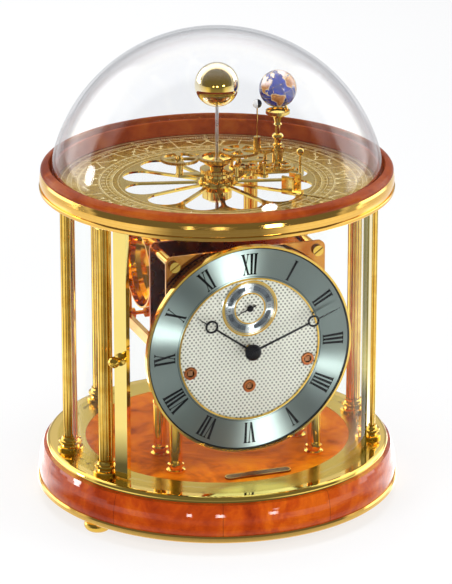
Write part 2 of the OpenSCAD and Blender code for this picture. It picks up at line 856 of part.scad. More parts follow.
// Pillars between the plates, with hexagon nuts at the back and slotted cap nuts at the front
module plate_pillars() {
    nut = 3;
    cap = 2.6;
    end = 1.2;
    slot = 0.9;
    color("gold") for (x = [-pillar_x, pillar_x], z = pillar_z) {
        facing(back_y + back_t, front_y - back_y - back_t) translate([x, z]) circle(3.5);
        facing(back_y - nut + 0.5, front_y + front_t + end - back_y + nut - 0.5) translate([x, z])
            circle(pillar_pin_r);
        facing(back_y - nut, nut) translate([x, z]) difference() {
            circle(4.4, $fn = 6);
            circle(pillar_pin_r + run);
        }
        difference() {
            facing(front_y + front_t, cap) translate([x, z]) circle(3.9);
            facing(front_y + front_t - 1, 1.1 + end) translate([x, z]) circle(pillar_pin_r + run);
            facing(front_y + front_t + cap - slot, slot + 1) translate([x, z]) rotate(35)
                square([9, slot], center = true);
        }
    }
}

module movement_legs() {
    h = plate_low - z_floor + 0.2;
    color("gold") for (x = [-53, 53], y = [-front_y - 1, -back_y - 1]) translate([x, y, z_floor - 0.2])
        rotate_extrude() polygon([[0, 0], [7, 0], [7, 1.6], [6, 2.4], [5, 3], [5, 4],
            [6, 4.6], [6, 6], [5, 7], [4.8, 9], [4.8, h - 9], [4.6, h - 7], [5.2, h - 6],
            [5.2, h - 4.4], [4.6, h - 3.4], [4.6, h], [0, h]]);
}

// A spring barrel on its arbor: drum, end cap and great wheel
module barrel(p, teeth, drum_r, wheel_y, phase) {
    color("gold") difference() {
        union() {
            turned_y(p[0], p[1]) translate([0, back_y + 6]) polygon([[0, 0], [6, 0], [6, 3],
                [drum_r - 1, 3], [drum_r, 4], [drum_r, 24], [drum_r - 1, 25], [6, 25], [6, 28.3],
                [0, 28.3]]);
            facing(wheel_y, 2.5) translate(p) gear2d(teeth, great_module, phase);
        }
        facing(back_y, 40) translate(p) circle(arbor_r + run);
    }
}

// The great wheel of the going barrel drives the pinion above it
going_phase = 90;
centre_phase = mesh_phase(90, great_teeth, going_phase, centre_teeth);

module going_barrel() {
    barrel(wind_places[0], great_teeth, 19, front_y - 5.6, going_phase);
}

module strike_barrel() {
    barrel(wind_places[1], side_teeth, 17.5, back_y + 9.5, 0);
}

module chime_barrel() {
    barrel(wind_places[2], side_teeth, 17.5, back_y + 9.5, 0);
}

// A winding arbor: round through the barrel, square for the key, with its ratchet wheel
module winding_arbor(p) {
    ratchet = [for (i = [0:19], k = [0, 1]) polar(k == 0 ? 8.2 : 6.9, i * 18 + k * 3)];
    color("silver") {
        facing(back_y, front_y + front_t + 2 - back_y) translate(p) circle(arbor_r);
        facing(front_y + front_t + 2 - eps, dial_y - front_y - front_t - 2.6) translate(p)
            square(square_w, center = true);
        facing(front_y + front_t + 0.3, 1.5) translate(p) polygon(ratchet);
    }
}

module going_winding_arbor() {
    winding_arbor(wind_places[0]);
}

module strike_winding_arbor() {
    winding_arbor(wind_places[1]);
}

module chime_winding_arbor() {
    winding_arbor(wind_places[2]);
}

// The motion work: cannon pinion, minute wheel and hour wheel
cannon_m = 0.55;
hour_m = 0.44;
minute_phase = mesh_phase(motion_angle, 12, 0, 36);
minute_pinion_phase = 0;
hour_phase = mesh_phase(motion_angle + 180, 12, minute_pinion_phase, 48);

module centre_arbor() {
    color("silver") {
        facing(back_y + 0.2, front_y + front_t + 0.5 - back_y) translate([0, z_dial]) circle(centre_r);
        facing(front_y - 5.8, 3) translate([0, z_dial]) gear2d(centre_teeth, great_module, centre_phase);
        facing(back_y + back_t + 1, 1.5) translate([0, z_dial]) difference() {
            circle(16);
            for (i = [0:4]) rotate(72 * i) translate([9, 0]) circle(4.2);
        }
        facing(front_y + front_t + 0.4, 1.5) translate([0, z_dial]) gear2d(12, cannon_m);
        facing(front_y + front_t + 0.4, 13) translate([0, z_dial]) circle(cannon_r);
        facing(front_y + front_t + 13, dial_y + 9 - front_y - front_t - 13)
            translate([0, z_dial]) circle(hand_seat_r);
    }
}

module minute_wheel() {
    at = [0, z_dial] + polar(motion_gap, motion_angle);
    color("gold") difference() {
        union() {
            facing(front_y + front_t + 0.5, 1.2) translate(at) gear2d(36, cannon_m, minute_phase);
            facing(front_y + front_t + 1.7 - eps, 1.9) translate(at) gear2d(12, hour_m, minute_pinion_phase);
        }
        facing(front_y, 10) translate(at) circle(minute_stud_r + run);
    }
}

module hour_wheel() {
    color("gold") difference() {
        union() {
            facing(front_y + front_t + 2.3, 1.2) translate([0, z_dial]) gear2d(48, hour_m, hour_phase);
            facing(front_y + front_t + 2.3, dial_y + 4.4 - front_y - front_t - 2.3)
                translate([0, z_dial]) circle(hour_pipe_r);
        }
        facing(front_y, 20) translate([0, z_dial]) circle(cannon_r + run);
    }
}

module balance_wheel() {
    color("gold") {
        facing(back_y - 7, 1.6) translate(balance_at) difference() {
            circle(13);
            difference() {
                circle(11);
                square([30, 2.4], center = true);
                circle(3);
            }
        }
        facing(back_y - 11.5, 13) translate(balance_at) circle(staff_r);
    }
}

// A nest of bells on one rod, mouths to the left, each smaller than the last
function bell_size(i) = bell_r - 4 * i;
function bell_mouth(i) = bell_x + bell_step * i;

module bell_shell(i) {
    r = bell_size(i);
    d = bell_depth - i;
    inner = r - bell_t;
    boss = 4.4;
    outside = [for (a = [0:10:70]) [r * cos(a), d * sin(a)]];
    inside = [for (a = [70:-10:0]) [inner * cos(a), (d - bell_t) * sin(a)]];
    translate([bell_mouth(i), bell_y, bell_z]) rotate([0, 90, 0]) rotate_extrude()
        polygon(concat(outside, [[boss, d], [bell_rod_r, d], [bell_rod_r, d - bell_t],
            [boss, d - bell_t]], inside));
}

module bells() {
    color("gold") for (i = [0:2]) bell_shell(i);
}

module bell_stand() {
    tip = [for (i = [0:2]) bell_mouth(i) + bell_depth - i];
    spacer_r = 4;
    color("goldenrod") {
        translate([tip[0] - 4, bell_y, bell_z]) rotate([0, 90, 0])
            cylinder(24 - tip[0], bell_rod_r, bell_rod_r);
        translate([tip[0] - bell_t - 3, bell_y, bell_z]) rotate([0, 90, 0])
            cylinder(3, spacer_r, spacer_r, $fn = 6);
        for (i = [0:1]) translate([tip[i], bell_y, bell_z]) rotate([0, 90, 0])
            cylinder(tip[i + 1] - tip[i] - bell_t, spacer_r, spacer_r);
        translate([tip[2], bell_y, bell_z]) rotate([0, 90, 0]) cylinder(10 - tip[2], spacer_r, spacer_r);
        translate([10, -back_y, bell_z - 5]) cube([7, back_y + bell_y + 4, 10]);
        for (x = [-plate_half, 6]) translate([x, -back_y, hammer_z - 4])
            cube([3.8, hammer_y + back_y + 4, 8]);
        translate([-plate_half, hammer_y, hammer_z]) rotate([0, 90, 0])
            cylinder(plate_half + 8, hammer_rod_r, hammer_rod_r);
    }
}

// A hammer that hangs on the long rod and strikes the rim of bell i from behind
module hammer(i) {
    x = bell_mouth(i) + 5;
    face = bell_y + bell_size(i) + hammer_gap;
    lean = [face + 4.5 - hammer_y, bell_z - hammer_z];
    color("darkgoldenrod") {
        difference() {
            union() {
                translate([x - 3, hammer_y, hammer_z]) rotate([0, 90, 0]) cylinder(6, 4, 4);
                translate([x, hammer_y, hammer_z]) rotate([-atan2(lean[0], lean[1]), 0, 0])
                    cylinder(norm(lean) - 1, 1.2, 1.2);
            }
            translate([x - 4, hammer_y, hammer_z]) rotate([0, 90, 0])
                cylinder(8, hammer_rod_r + run, hammer_rod_r + run);
        }
        translate([x, face, bell_z]) rotate([-90, 0, 0]) cylinder(9, 3.6, 3.6);
    }
}

module quarter_hammer() {
    hammer(2);
}

module chime_hammer() {
    hammer(1);
}

module hour_hammer() {
    hammer(0);
}

feet();
base_bottom_ring();
wooden_base();
base_top_plate();
wood_inlay();
name_plaque();
column_shafts();
column_collars();
glass_panels();
door_glass();
door_stiles();
door_knob();
door_hinge_pins();
top_brass_ring();
top_wood_ring();
glass_dome();
tellurium_plate();
centre_hub();
drive_arbor();
sun_wheel();
sun_rod();
sun_ball();
orbit_arm();
gear_bridge();
counter_wheel();
axis_idler();
moon_idler();
moon_transfer_wheel();
moon_arm();
moon_ball();
earth_carrier();
earth_globe();
date_pointer();
dial_plate();
chapter_ring();
dial_bezel();
subdial();
subdial_hand();
winding_grommets();
minute_hand();
hour_hand();
hour_wheel();
minute_wheel();
centre_arbor();
front_plate();
back_plate();
plate_pillars();
movement_legs();
going_barrel();
strike_barrel();
chime_barrel();
going_winding_arbor();
strike_winding_arbor();
chime_winding_arbor();
balance_wheel();
bells();
bell_stand();
quarter_hammer();
chime_hammer();
hour_hammer();
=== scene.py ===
import math
import random

import bmesh
import bpy
from mathutils import Matrix, Vector


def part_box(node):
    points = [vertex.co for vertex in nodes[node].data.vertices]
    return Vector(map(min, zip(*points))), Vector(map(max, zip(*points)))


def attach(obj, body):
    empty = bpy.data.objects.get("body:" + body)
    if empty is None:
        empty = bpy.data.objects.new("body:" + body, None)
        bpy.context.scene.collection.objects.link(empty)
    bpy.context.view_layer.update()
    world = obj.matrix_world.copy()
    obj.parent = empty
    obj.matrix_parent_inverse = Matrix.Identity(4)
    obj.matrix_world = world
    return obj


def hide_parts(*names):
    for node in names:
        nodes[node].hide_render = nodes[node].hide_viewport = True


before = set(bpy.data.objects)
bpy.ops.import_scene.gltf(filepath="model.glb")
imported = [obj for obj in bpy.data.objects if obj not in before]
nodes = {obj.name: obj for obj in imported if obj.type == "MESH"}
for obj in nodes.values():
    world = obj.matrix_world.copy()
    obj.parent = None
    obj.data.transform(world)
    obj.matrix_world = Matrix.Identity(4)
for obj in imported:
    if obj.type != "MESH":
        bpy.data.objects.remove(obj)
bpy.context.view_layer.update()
MM = 0.001
X, Y, Z = range(3)
random.seed(7)

# The camera's direction, and the level one across it
AZIMUTH, ELEVATION, DISTANCE = math.radians(-20), math.radians(19.5), 2.6
AWAY = Vector((math.sin(AZIMUTH) * math.cos(ELEVATION), -math.cos(AZIMUTH) * math.cos(ELEVATION),
               math.sin(ELEVATION)))
FRONT = Vector((math.sin(AZIMUTH), -math.cos(AZIMUTH), 0))
ACROSS = Vector((math.cos(AZIMUTH), math.sin(AZIMUTH), 0))


def side(node, end, axis):
    """The low (0) or high (1) side of a CAD node's box along an axis, in mm."""
    return round(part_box(node)[end][axis] / MM, 1)


def middle(node, axis):
    return (side(node, 0, axis) + side(node, 1, axis)) / 2


# Places and sizes in mm: from the frame where a box gives them, otherwise as the CAD source has them
Z_DIAL = middle("chapter_ring", Z)
FACE_Y = side("chapter_ring", 0, Y)
SUBDIAL = (0, middle("subdial", Z))
SUBDIAL_Y = -67.9
HUB_SKIN, HUB_RISE = 0.2, 3.3
HUB_R = HUB_SKIN - side("minute_hand", 0, X)
HUB_BACK = side("minute_hand", 0, Y) - HUB_SKIN + HUB_RISE
Z_DECK = side("tellurium_plate", 1, Z)
ARM = math.radians(-12)
EARTH_ORBIT, EARTH_R, EARTH_BORE = 44, 13.5, 1.2
EARTH = (EARTH_ORBIT * math.cos(ARM), EARTH_ORBIT * math.sin(ARM), Z_DECK + 67)
TILT = math.radians(23.4)
SUN_R, SUN_BORE = side("sun_ball", 1, X), 1.3
SUN = (0, 0, side("sun_ball", 1, Z) - SUN_R)
MOON_ORBIT, MOON_R, MOON_BORE = 15, 3.3, 0.52
MOON_TURN = ARM + math.radians(182)
MOON = (EARTH[X] + MOON_ORBIT * math.cos(MOON_TURN), EARTH[Y] + MOON_ORBIT * math.sin(MOON_TURN),
        Z_DECK + 56.5)
DOME_R, DOME_WALL = 121.7, 2
Z_DOME, Z_SEAT = side("glass_dome", 1, Z) - DOME_R, side("glass_dome", 0, Z)

# How high printed, cut and gilt lines stand on their surfaces, in mm
INK_RISE, LINE_RISE, FIELD_RISE, SCALE_RISE = 0.05, 0.04, 0.03, 0.04
CUT_RISE, STAR_RISE, PLAQUE_RISE, GRID_RISE = 0.03, 0.05, 0.04, 0.05
RIM_RISE, RIM_LIFT, LOW_LIFT, CENTRE_RISE = 0.35, 0.45, 0.05, 0.12

# How many straight pieces make a full circle, or a part of one
DIAL_STEPS, SCALE_STEPS, PLATE_STEPS, RIM_STEPS = 180, 120, 240, 96
FIELD_STEPS, END_STEPS, CENTRE_STEPS, HUB_STEPS, GRID_STEPS = 40, 24, 64, 64, 120
SUN_ROWS, EARTH_ROWS, MOON_ROWS, HUB_ROWS = 64, 90, 28, 14
DOME_STEPS, DOME_ROWS = 160, 48


# Node helpers

# The parts of noise's range that are spread over a whole ramp
BROAD, NARROW = (0.3, 0.7), (0.35, 0.65)


class Look:
    """A material, or the world, and short ways to add nodes to it."""

    def __init__(self, name, world=False):
        self.material = (bpy.data.worlds if world else bpy.data.materials).new(name)
        self.material.use_nodes = True
        self.tree = self.material.node_tree
        self.tree.nodes.clear()
        self.out = self.tree.nodes.new("ShaderNodeOutputWorld" if world else "ShaderNodeOutputMaterial")
        self.place = self.add("ShaderNodeTexCoord").outputs["Generated" if world else "Object"]

    def put(self, socket, value):
        """Links a socket to the input, or sets a plain number, vector or colour."""
        if isinstance(value, bpy.types.NodeSocket):
            self.tree.links.new(value, socket)
        else:
            socket.default_value = value

    def add(self, kind, values=None, **settings):
        n = self.tree.nodes.new(kind)
        for key, value in settings.items():
            setattr(n, key, value)
        for key, value in (values or {}).items():
            self.put(n.inputs[key], value)
        return n

    def math(self, operation, a, b=0.0, c=0.0):
        n = self.add("ShaderNodeMath", operation=operation)
        for i, value in enumerate((a, b, c)):
            self.put(n.inputs[i], value)
        return n.outputs[0]

    def noise(self, scale, detail=4, rough=0.55, warp=0.0, vector=None):
        values = {"Vector": vector or self.place, "Scale": scale, "Detail": detail, "Roughness": rough,
                  "Distortion": warp}
        return self.add("ShaderNodeTexNoise", values).outputs["Fac"]

    def rings(self, r, lines):
        """Noise along a radius only, as turning and brushing leave it."""
        values = {"W": self.math("MULTIPLY", r, lines), "Detail": 3.0, "Scale": 1.0}
        return self.add("ShaderNodeTexNoise", values, noise_dimensions="1D").outputs["Fac"]

    def ramp(self, value, stops):
        n = self.add("ShaderNodeValToRGB", {"Fac": value})
        ends = n.color_ramp.elements
        while len(ends) < len(stops):
            ends.new(0.5)
        for end, (at, colour) in zip(ends, stops):
            end.position = at
            end.color = colour if len(colour) == 4 else (*colour, 1)
        return n.outputs["Color"]

    def scaled(self, value, low, high, to_low, to_high):
        """A ramp: to_low up to low, to_high from high on."""
        n = self.add("ShaderNodeMapRange", {"Value": value, "From Min": low, "From Max": high,
                                            "To Min": to_low, "To Max": to_high})
        return n.outputs[0]

    def times(self, first, *others):
        for other in others:
            first = self.math("MULTIPLY", first, other)
        return first

    def mix(self, factor, a, b):
        n = self.add("ShaderNodeMix", data_type="RGBA")
        self.put(n.inputs[0], factor)
        for i, value in ((6, a), (7, b)):
            self.put(n.inputs[i], value if isinstance(value, bpy.types.NodeSocket) else (*value, 1))
        return n.outputs[2]

    def between(self, noise, a, b, span=BROAD):
        """A number or a colour that noise moves between two ends."""
        if isinstance(a, tuple):
            return self.mix(self.scaled(noise, *span, 0, 1), a, b)
        return self.scaled(noise, *span, a, b)

    def bump(self, height, distance, strength=1.0):
        values = {"Height": height, "Distance": distance, "Strength": strength}
        return self.add("ShaderNodeBump", values).outputs[0]

    def along(self, direction, vector=None):
        """How far a vector points along a fixed direction."""
        values = {0: vector or self.place, 1: tuple(direction)}
        return self.add("ShaderNodeVectorMath", values, operation="DOT_PRODUCT").outputs["Value"]

    def blend(self, factor, a, b):
        n = self.add("ShaderNodeMixShader", {0: factor})
        self.tree.links.new(a, n.inputs[1])
        self.tree.links.new(b, n.inputs[2])
        return n.outputs[0]

    def parts(self):
        n = self.add("ShaderNodeSeparateXYZ", {"Vector": self.place})
        return n.outputs[0], n.outputs[1], n.outputs[2]

    def radius(self, a, b):
        return self.math("SQRT", self.math("ADD", self.math("MULTIPLY", a, a), self.math("MULTIPLY", b, b)))

    def principled(self, colour, metallic, rough, **more):
        n = self.add("ShaderNodeBsdfPrincipled")
        self.put(n.inputs["Base Color"], colour if isinstance(colour, bpy.types.NodeSocket) else (*colour, 1))
        self.put(n.inputs["Metallic"], metallic)
        self.put(n.inputs["Roughness"], rough)
        for key, value in more.items():
            self.put(n.inputs[key.replace("_", " ")], value)
        return self.finish(n.outputs[0])

    def finish(self, shader):
        self.tree.links.new(shader, self.out.inputs["Surface"])
        return self.material


HAIRLINES = 900


def metal(name, bright, deep, rough, spread=0.04, scale=60, bump=0.000004):
    """A polished metal: slow drifts of tone, faint haze and hairline marks."""
    look = Look(name)
    colour = look.between(look.noise(scale, 5, 0.6, warp=0.4), deep, bright, NARROW)
    shine = look.between(look.noise(scale * 2.3, 4), max(rough - spread, 0.02), rough + spread)
    return look.principled(colour, 1.0, shine, Normal=look.bump(look.noise(HAIRLINES, 3, 0.6), bump))


EYE_R, EYE_SHADE = 0.14, 0.3
LEAF_SHADE, SEAM_SHADE = 0.35, 0.6


def burl(name, dark, medium, light, scale, coat, leaves=1):
    """Lacquered burl veneer in leaves: swirling figure, small eyes and fine pores under a clear coat."""
    look = Look(name)
    values = {"Vector": look.place, "Scale": scale * 0.6, "Detail": 3}
    swirl = look.add("ShaderNodeTexNoise", values).outputs["Color"]
    shift = look.add("ShaderNodeVectorMath", {0: swirl, "Scale": 0.03}, operation="SCALE").outputs[0]
    warped = look.add("ShaderNodeVectorMath", {0: look.place, 1: shift}, operation="ADD").outputs[0]
    cloud = look.noise(scale, 6, 0.62, warp=1.6, vector=warped)
    grain = look.noise(scale * 7, 5, 0.6, warp=0.8, vector=warped)
    eyes = look.add("ShaderNodeTexVoronoi", {"Vector": warped, "Scale": scale * 2.2}).outputs["Distance"]
    figure = look.math("ADD", look.math("MULTIPLY", cloud, 0.75), look.math("MULTIPLY", grain, 0.25))
    tone = look.ramp(figure, [(0.34, dark), (0.5, medium), (0.66, light)])
    tone = look.mix(look.scaled(eyes, 0.0, EYE_R, EYE_SHADE, 0.0), tone, dark)
    if leaves > 1:
        x, y, z = look.parts()
        turn = look.math("MULTIPLY", look.math("ARCTAN2", y, x), leaves / (2 * math.pi))
        leaf = look.add("ShaderNodeTexWhiteNoise", {"W": look.math("FLOOR", turn)}, noise_dimensions="1D")
        tone = look.mix(look.math("MULTIPLY", leaf.outputs["Value"], LEAF_SHADE), tone, dark)
        seam = look.math("ABSOLUTE", look.math("SUBTRACT", look.math("FRACT", turn), 0.5))
        tone = look.mix(look.scaled(seam, 0.495, 0.498, 0.0, SEAM_SHADE), tone, tuple(c * 0.4 for c in dark))
    return look.principled(tone, 0.0, look.between(grain, 0.4, 0.55), Specular_IOR_Level=0.02,
                           Coat_Weight=coat, Coat_Roughness=0.02, Coat_IOR=1.45,
                           Normal=look.bump(grain, 0.000006, 0.4))


RIM_POWER, SLANT_POWER = 12.0, 5.0
MIRROR_FACE, MIRROR_SLANT = 0.04, 0.9
GLASS_HAZE = 0.006


def clear(name, tint, edge, share):
    """Thin clear glass: lets sight and light through, mirrors more at a slant, and greys at its rim."""
    look = Look(name)
    facing = look.add("ShaderNodeLayerWeight", {"Blend": 0.5}).outputs["Facing"]
    colour = look.mix(look.math("POWER", facing, RIM_POWER), tint, edge)
    through = look.add("ShaderNodeBsdfTransparent", {"Color": colour}).outputs[0]
    haze = look.between(look.noise(9, 2), 0.0, GLASS_HAZE)
    mirror = look.add("ShaderNodeBsdfGlossy", {"Color": (1, 1, 1, 1), "Roughness": haze}).outputs[0]
    amount = look.math("MULTIPLY_ADD", look.math("POWER", facing, SLANT_POWER), MIRROR_SLANT, MIRROR_FACE)
    light = look.add("ShaderNodeLightPath")
    lit = look.math("MAXIMUM", light.outputs["Is Shadow Ray"], light.outputs["Is Diffuse Ray"])
    amount = look.times(amount, share, look.math("SUBTRACT", 1.0, lit))
    return look.finish(look.blend(amount, through, mirror))


# Materials

GOLD = (0.93, 0.64, 0.14)
GOLD_DEEP = (0.84, 0.5, 0.07)
polished = metal("polished_brass", GOLD, GOLD_DEEP, 0.07)
column_brass = metal("column_brass", (0.92, 0.64, 0.15), (0.8, 0.48, 0.07), 0.09, 0.04, 90)
stile_brass = metal("stile_brass", (0.96, 0.76, 0.25), (0.93, 0.72, 0.21), 0.06, 0.02, 20, 0.000002)
# Front plate: its drift from orange-gold to dark maroon is painted reflection of the dark interior and the
# red wood
front_plate_painted_reflection = metal("movement_brass", (0.76, 0.36, 0.07), (0.52, 0.15, 0.018), 0.06, 0.03, 45)
# Back plate: its deep maroon tone is painted reflection of the dark gap behind the dial
back_plate_painted_reflection = metal("back_plate_brass_painted_reflection", (0.66, 0.22, 0.035), (0.46, 0.08, 0.012), 0.26, 0.08, 45)
movement_brass = metal("going_brass", (0.9, 0.54, 0.12), (0.76, 0.36, 0.05), 0.09, 0.05, 60)
wheel_brass = metal("wheel_brass", (0.97, 0.74, 0.25), (0.88, 0.58, 0.12), 0.1, 0.05, 120)
plaque_bronze = metal("plaque_bronze", (0.3, 0.17, 0.035), (0.16, 0.08, 0.012), 0.2, 0.06, 150, 0.00001)
# Winding arbors: the dark copper-brown tone is painted shade of the deep winding holes
arbor_painted_shade = metal("arbor_painted_shade", (0.62, 0.3, 0.14), (0.42, 0.16, 0.06), 0.2, 0.06, 200)
steel = metal("polished_steel", (0.72, 0.72, 0.73), (0.55, 0.56, 0.58), 0.12, 0.05, 80)
rod_steel = metal("rod_steel", (0.9, 0.92, 0.95), (0.78, 0.8, 0.84), 0.3, 0.05, 80)
copper = metal("copper", (0.7, 0.24, 0.07), (0.55, 0.15, 0.04), 0.16, 0.05, 150)
bronze = metal("bell_bronze", (0.95, 0.5, 0.07), (0.82, 0.3, 0.025), 0.08, 0.04, 60)
base_wood = burl("base_burl", (0.2, 0.014, 0.0005), (0.43, 0.052, 0.001), (0.64, 0.125, 0.003), 15, 1.0, 10)
inlay_wood = burl("inlay_burl", (0.34, 0.045, 0.001), (0.8, 0.18, 0.003), (0.96, 0.32, 0.008), 16, 0.03)
ring_wood = burl("ring_wood", (0.16, 0.02, 0.003), (0.27, 0.045, 0.006), (0.36, 0.085, 0.01), 14, 0.3)
panel_glass = clear("panel_glass", (0.99, 0.996, 0.994), (0.55, 0.75, 0.65), 0.25)
dome_glass = clear("dome_glass", (0.99, 0.994, 1.0), (0.2, 0.24, 0.32), 0.85)


BRUSHED = 0.000002


def make_satin(name, centre, normal_axis, tone, shade, rough, lines, anisotropic=1.0):
    """Metal brushed in circles round a centre."""
    look = Look(name)
    x, y, z = look.parts()
    r = look.radius(x, look.math("SUBTRACT", z, centre * MM) if normal_axis == "Y" else y)
    rings = look.rings(r, lines)
    tangent = look.add("ShaderNodeTangent", direction_type="RADIAL", axis=normal_axis).outputs[0]
    return look.principled(look.between(rings, shade, tone), 1.0, rough, Anisotropic=anisotropic,
                           Anisotropic_Rotation=0.25, Tangent=tangent, Normal=look.bump(rings, BRUSHED, 0.4))


chapter_look = make_satin("chapter_silver", Z_DIAL, "Y", (0.34, 0.41, 0.385), (0.25, 0.31, 0.29), 0.37, 9000)
subdial_look = make_satin("subdial_silver", SUBDIAL[1], "Y", (0.66, 0.7, 0.7), (0.5, 0.54, 0.55), 0.42, 9000)
band_brass = make_satin("band_brass", 0, "Z", (0.96, 0.6, 0.15), (0.86, 0.48, 0.09), 0.1, 5000, 0.3)


ROLLED_EDGE = (116.5 * MM, 118 * MM)
PLATE_LINES = 5000


def make_base_plate():
    """Brass plate: brushed in circles inside, polished at its rolled outer edge."""
    look = Look("plate_brass")
    x, y, z = look.parts()
    r = look.radius(x, y)
    rings = look.rings(r, PLATE_LINES)
    edge = look.scaled(r, *ROLLED_EDGE, 0, 1)
    colour = look.mix(edge, look.between(rings, (0.62, 0.42, 0.05), (0.78, 0.55, 0.08)), GOLD)
    rough = look.scaled(edge, 0, 1, 0.24, 0.06)
    return look.principled(colour, 1.0, rough, Normal=look.bump(rings, BRUSHED, 0.4))


plate_brass = make_base_plate()


def make_sun_gold():
    """Mirror gilding: deep gold face on, with a pale rim at a slant that is a painted reflection of the
    bright room.
    """
    look = Look("sun_gold_painted_rim")
    facing = look.add("ShaderNodeLayerWeight", {"Blend": 0.5}).outputs["Facing"]
    drift = look.noise(40, 3)
    face = look.between(drift, (0.86, 0.56, 0.08), (0.93, 0.66, 0.13), NARROW)
    # Painted reflection: the colour turns near white towards the rim
    colour = look.mix(look.scaled(facing, 0.12, 0.42, 0, 0.8), face, (1.0, 0.94, 0.74))
    return look.principled(colour, 1.0, 0.03, Normal=look.bump(drift, 0.000002))


gold_with_painted_rim = make_sun_gold()
DOT_PITCH = (3.2 * MM, 4.2 * MM)


def make_guilloche():
    """Silvered dial centre with staggered pressed dots."""
    look = Look("guilloche_silver")
    x, y, z = look.parts()
    across = look.math("COSINE", look.math("MULTIPLY", x, 2 * math.pi / DOT_PITCH[0]))
    up = look.math("COSINE", look.math("MULTIPLY", z, 2 * math.pi / DOT_PITCH[1]))
    cell = look.times(up, up, up, across)
    depth = look.between(look.noise(25, 3), 0.75, 1.0, NARROW)
    dots = look.times(look.scaled(cell, 0.03, 0.4, 0, 1), depth)
    tone = look.mix(dots, (0.86, 0.85, 0.74), (0.1, 0.1, 0.07))
    return look.principled(tone, 0.5, 0.4, Normal=look.bump(look.times(cell, -1.0), 0.00015, 0.6))


guilloche = make_guilloche()


def make_black(name, rough, gloss):
    """Black lacquer or ink."""
    look = Look(name)
    drift = look.noise(60, 2)
    colour = look.between(drift, (0.003, 0.003, 0.004), (0.008, 0.008, 0.009))
    return look.principled(colour, 0.0, look.between(drift, rough, rough + 0.03), Specular_IOR_Level=gloss)


hand_black = make_black("hand_black", 0.04, 0.25)
print_black = make_black("print_black", 0.6, 0.02)
slate = metal("slate_silver", (0.2, 0.23, 0.25), (0.13, 0.15, 0.17), 0.35, 0.06, 300)
SPOKES_END = (69.5 * MM, 70.5 * MM)


def make_tellurium():
    """The engraved plate: polished spokes inside, satin under the engraving."""
    look = Look("tellurium_brass")
    x, y, z = look.parts()
    satin = look.scaled(look.radius(x, y), *SPOKES_END, 0, 1)
    grain = look.noise(700, 4, 0.7)
    bright = look.between(look.noise(50, 4), (0.84, 0.54, 0.08), (0.94, 0.68, 0.16))
    matte = look.between(grain, (0.36, 0.2, 0.004), (0.68, 0.42, 0.014))
    rough = look.math("ADD", look.times(satin, look.between(grain, 0.16, 0.28)), 0.08)
    return look.principled(look.mix(satin, bright, matte), 1.0, rough,
                           Normal=look.bump(look.times(grain, satin), 0.00003, 0.7))


tellurium_look = make_tellurium()
relief = metal("engraved_relief", (0.98, 0.8, 0.34), (0.9, 0.66, 0.22), 0.14, 0.04, 200)


def make_engraved():
    """Cut lines in a pale, barely metallic gold: the pale tone is a painted glint, so they look bright under
    light from any side.
    """
    look = Look("engraved_lines_painted_glint")
    drift = look.noise(160, 3)
    colour = look.between(drift, (0.95, 0.72, 0.24), (1.0, 0.9, 0.5), NARROW)
    return look.principled(colour, 0.1, 0.35, Normal=look.bump(drift, 0.00001))


painted_glint_lines = make_engraved()


# Mesh helpers

def polar(r, a):
    return (r * math.cos(a), r * math.sin(a))


def clockwise(r, a):
    """A point at an angle counted from the top, as on a dial."""
    return (r * math.sin(a), r * math.cos(a))


def wrapped(rows, steps, first=0):
    """Faces between rows of points, each row closed on itself."""
    faces = []
    for i in range(rows - 1):
        a = first + i * steps
        b = a + steps
        faces += [[a + j, a + (j + 1) % steps, b + (j + 1) % steps, b + j] for j in range(steps)]
    return faces


def piece(name, verts, faces, material, body, smooth=False):
    mesh = bpy.data.meshes.new(name)
    mesh.from_pydata([tuple(c * MM for c in v) for v in verts], [], faces)
    mesh.update()
    if smooth:
        for polygon in mesh.polygons:
            polygon.use_smooth = True
    obj = bpy.data.objects.new(name, mesh)
    bpy.context.scene.collection.objects.link(obj)
    obj.data.materials.append(material)
    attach(obj, body)
    return obj


class Flat:
    """Thin raised shapes on one surface: outlines, set in space by a function of x, y and height."""

    def __init__(self, place, height):
        self.place, self.height = place, height
        self.verts, self.faces = [], []

    def outline(self, points):
        n, base = len(points), len(self.verts)
        for h in (0, self.height):
            self.verts += [self.place(x, y, h) for x, y in points]
        self.faces.append([base + n + i for i in range(n)])
        self.faces += [[base + i, base + (i + 1) % n, base + n + (i + 1) % n, base + n + i] for i in range(n)]

    def bar(self, a, b, w):
        a, b = Vector(a), Vector(b)
        d = (b - a).normalized() * w / 2
        s = Vector((-d.y, d.x))
        self.outline([tuple(a - s), tuple(b - s), tuple(b + s), tuple(a + s)])

    def ring(self, r, w, steps, centre=(0, 0), start=0.0, end=2 * math.pi):
        """A flat band with its two walls, all round or from one angle to another."""
        closed = abs(end - start - 2 * math.pi) < 1e-6
        count = steps if closed else steps + 1
        base, inner, outer = len(self.verts), r - w / 2, r + w / 2
        for i in range(count):
            a = start + (end - start) * i / steps
            for wall, h in ((inner, 0), (inner, self.height), (outer, self.height), (outer, 0)):
                x, y = polar(wall, a)
                self.verts.append(self.place(centre[0] + x, centre[1] + y, h))
        for i in range(steps):
            p, q = base + 4 * i, base + 4 * ((i + 1) % count)
            self.faces += [[p + k, q + k, q + k + 1, p + k + 1] for k in range(3)]

    def make(self, name, material, body):
        return piece(name, self.verts, self.faces, material, body)


GLYPH_SIZE, GLYPH_STEPS = 1.35, 3
glyph_store = {}


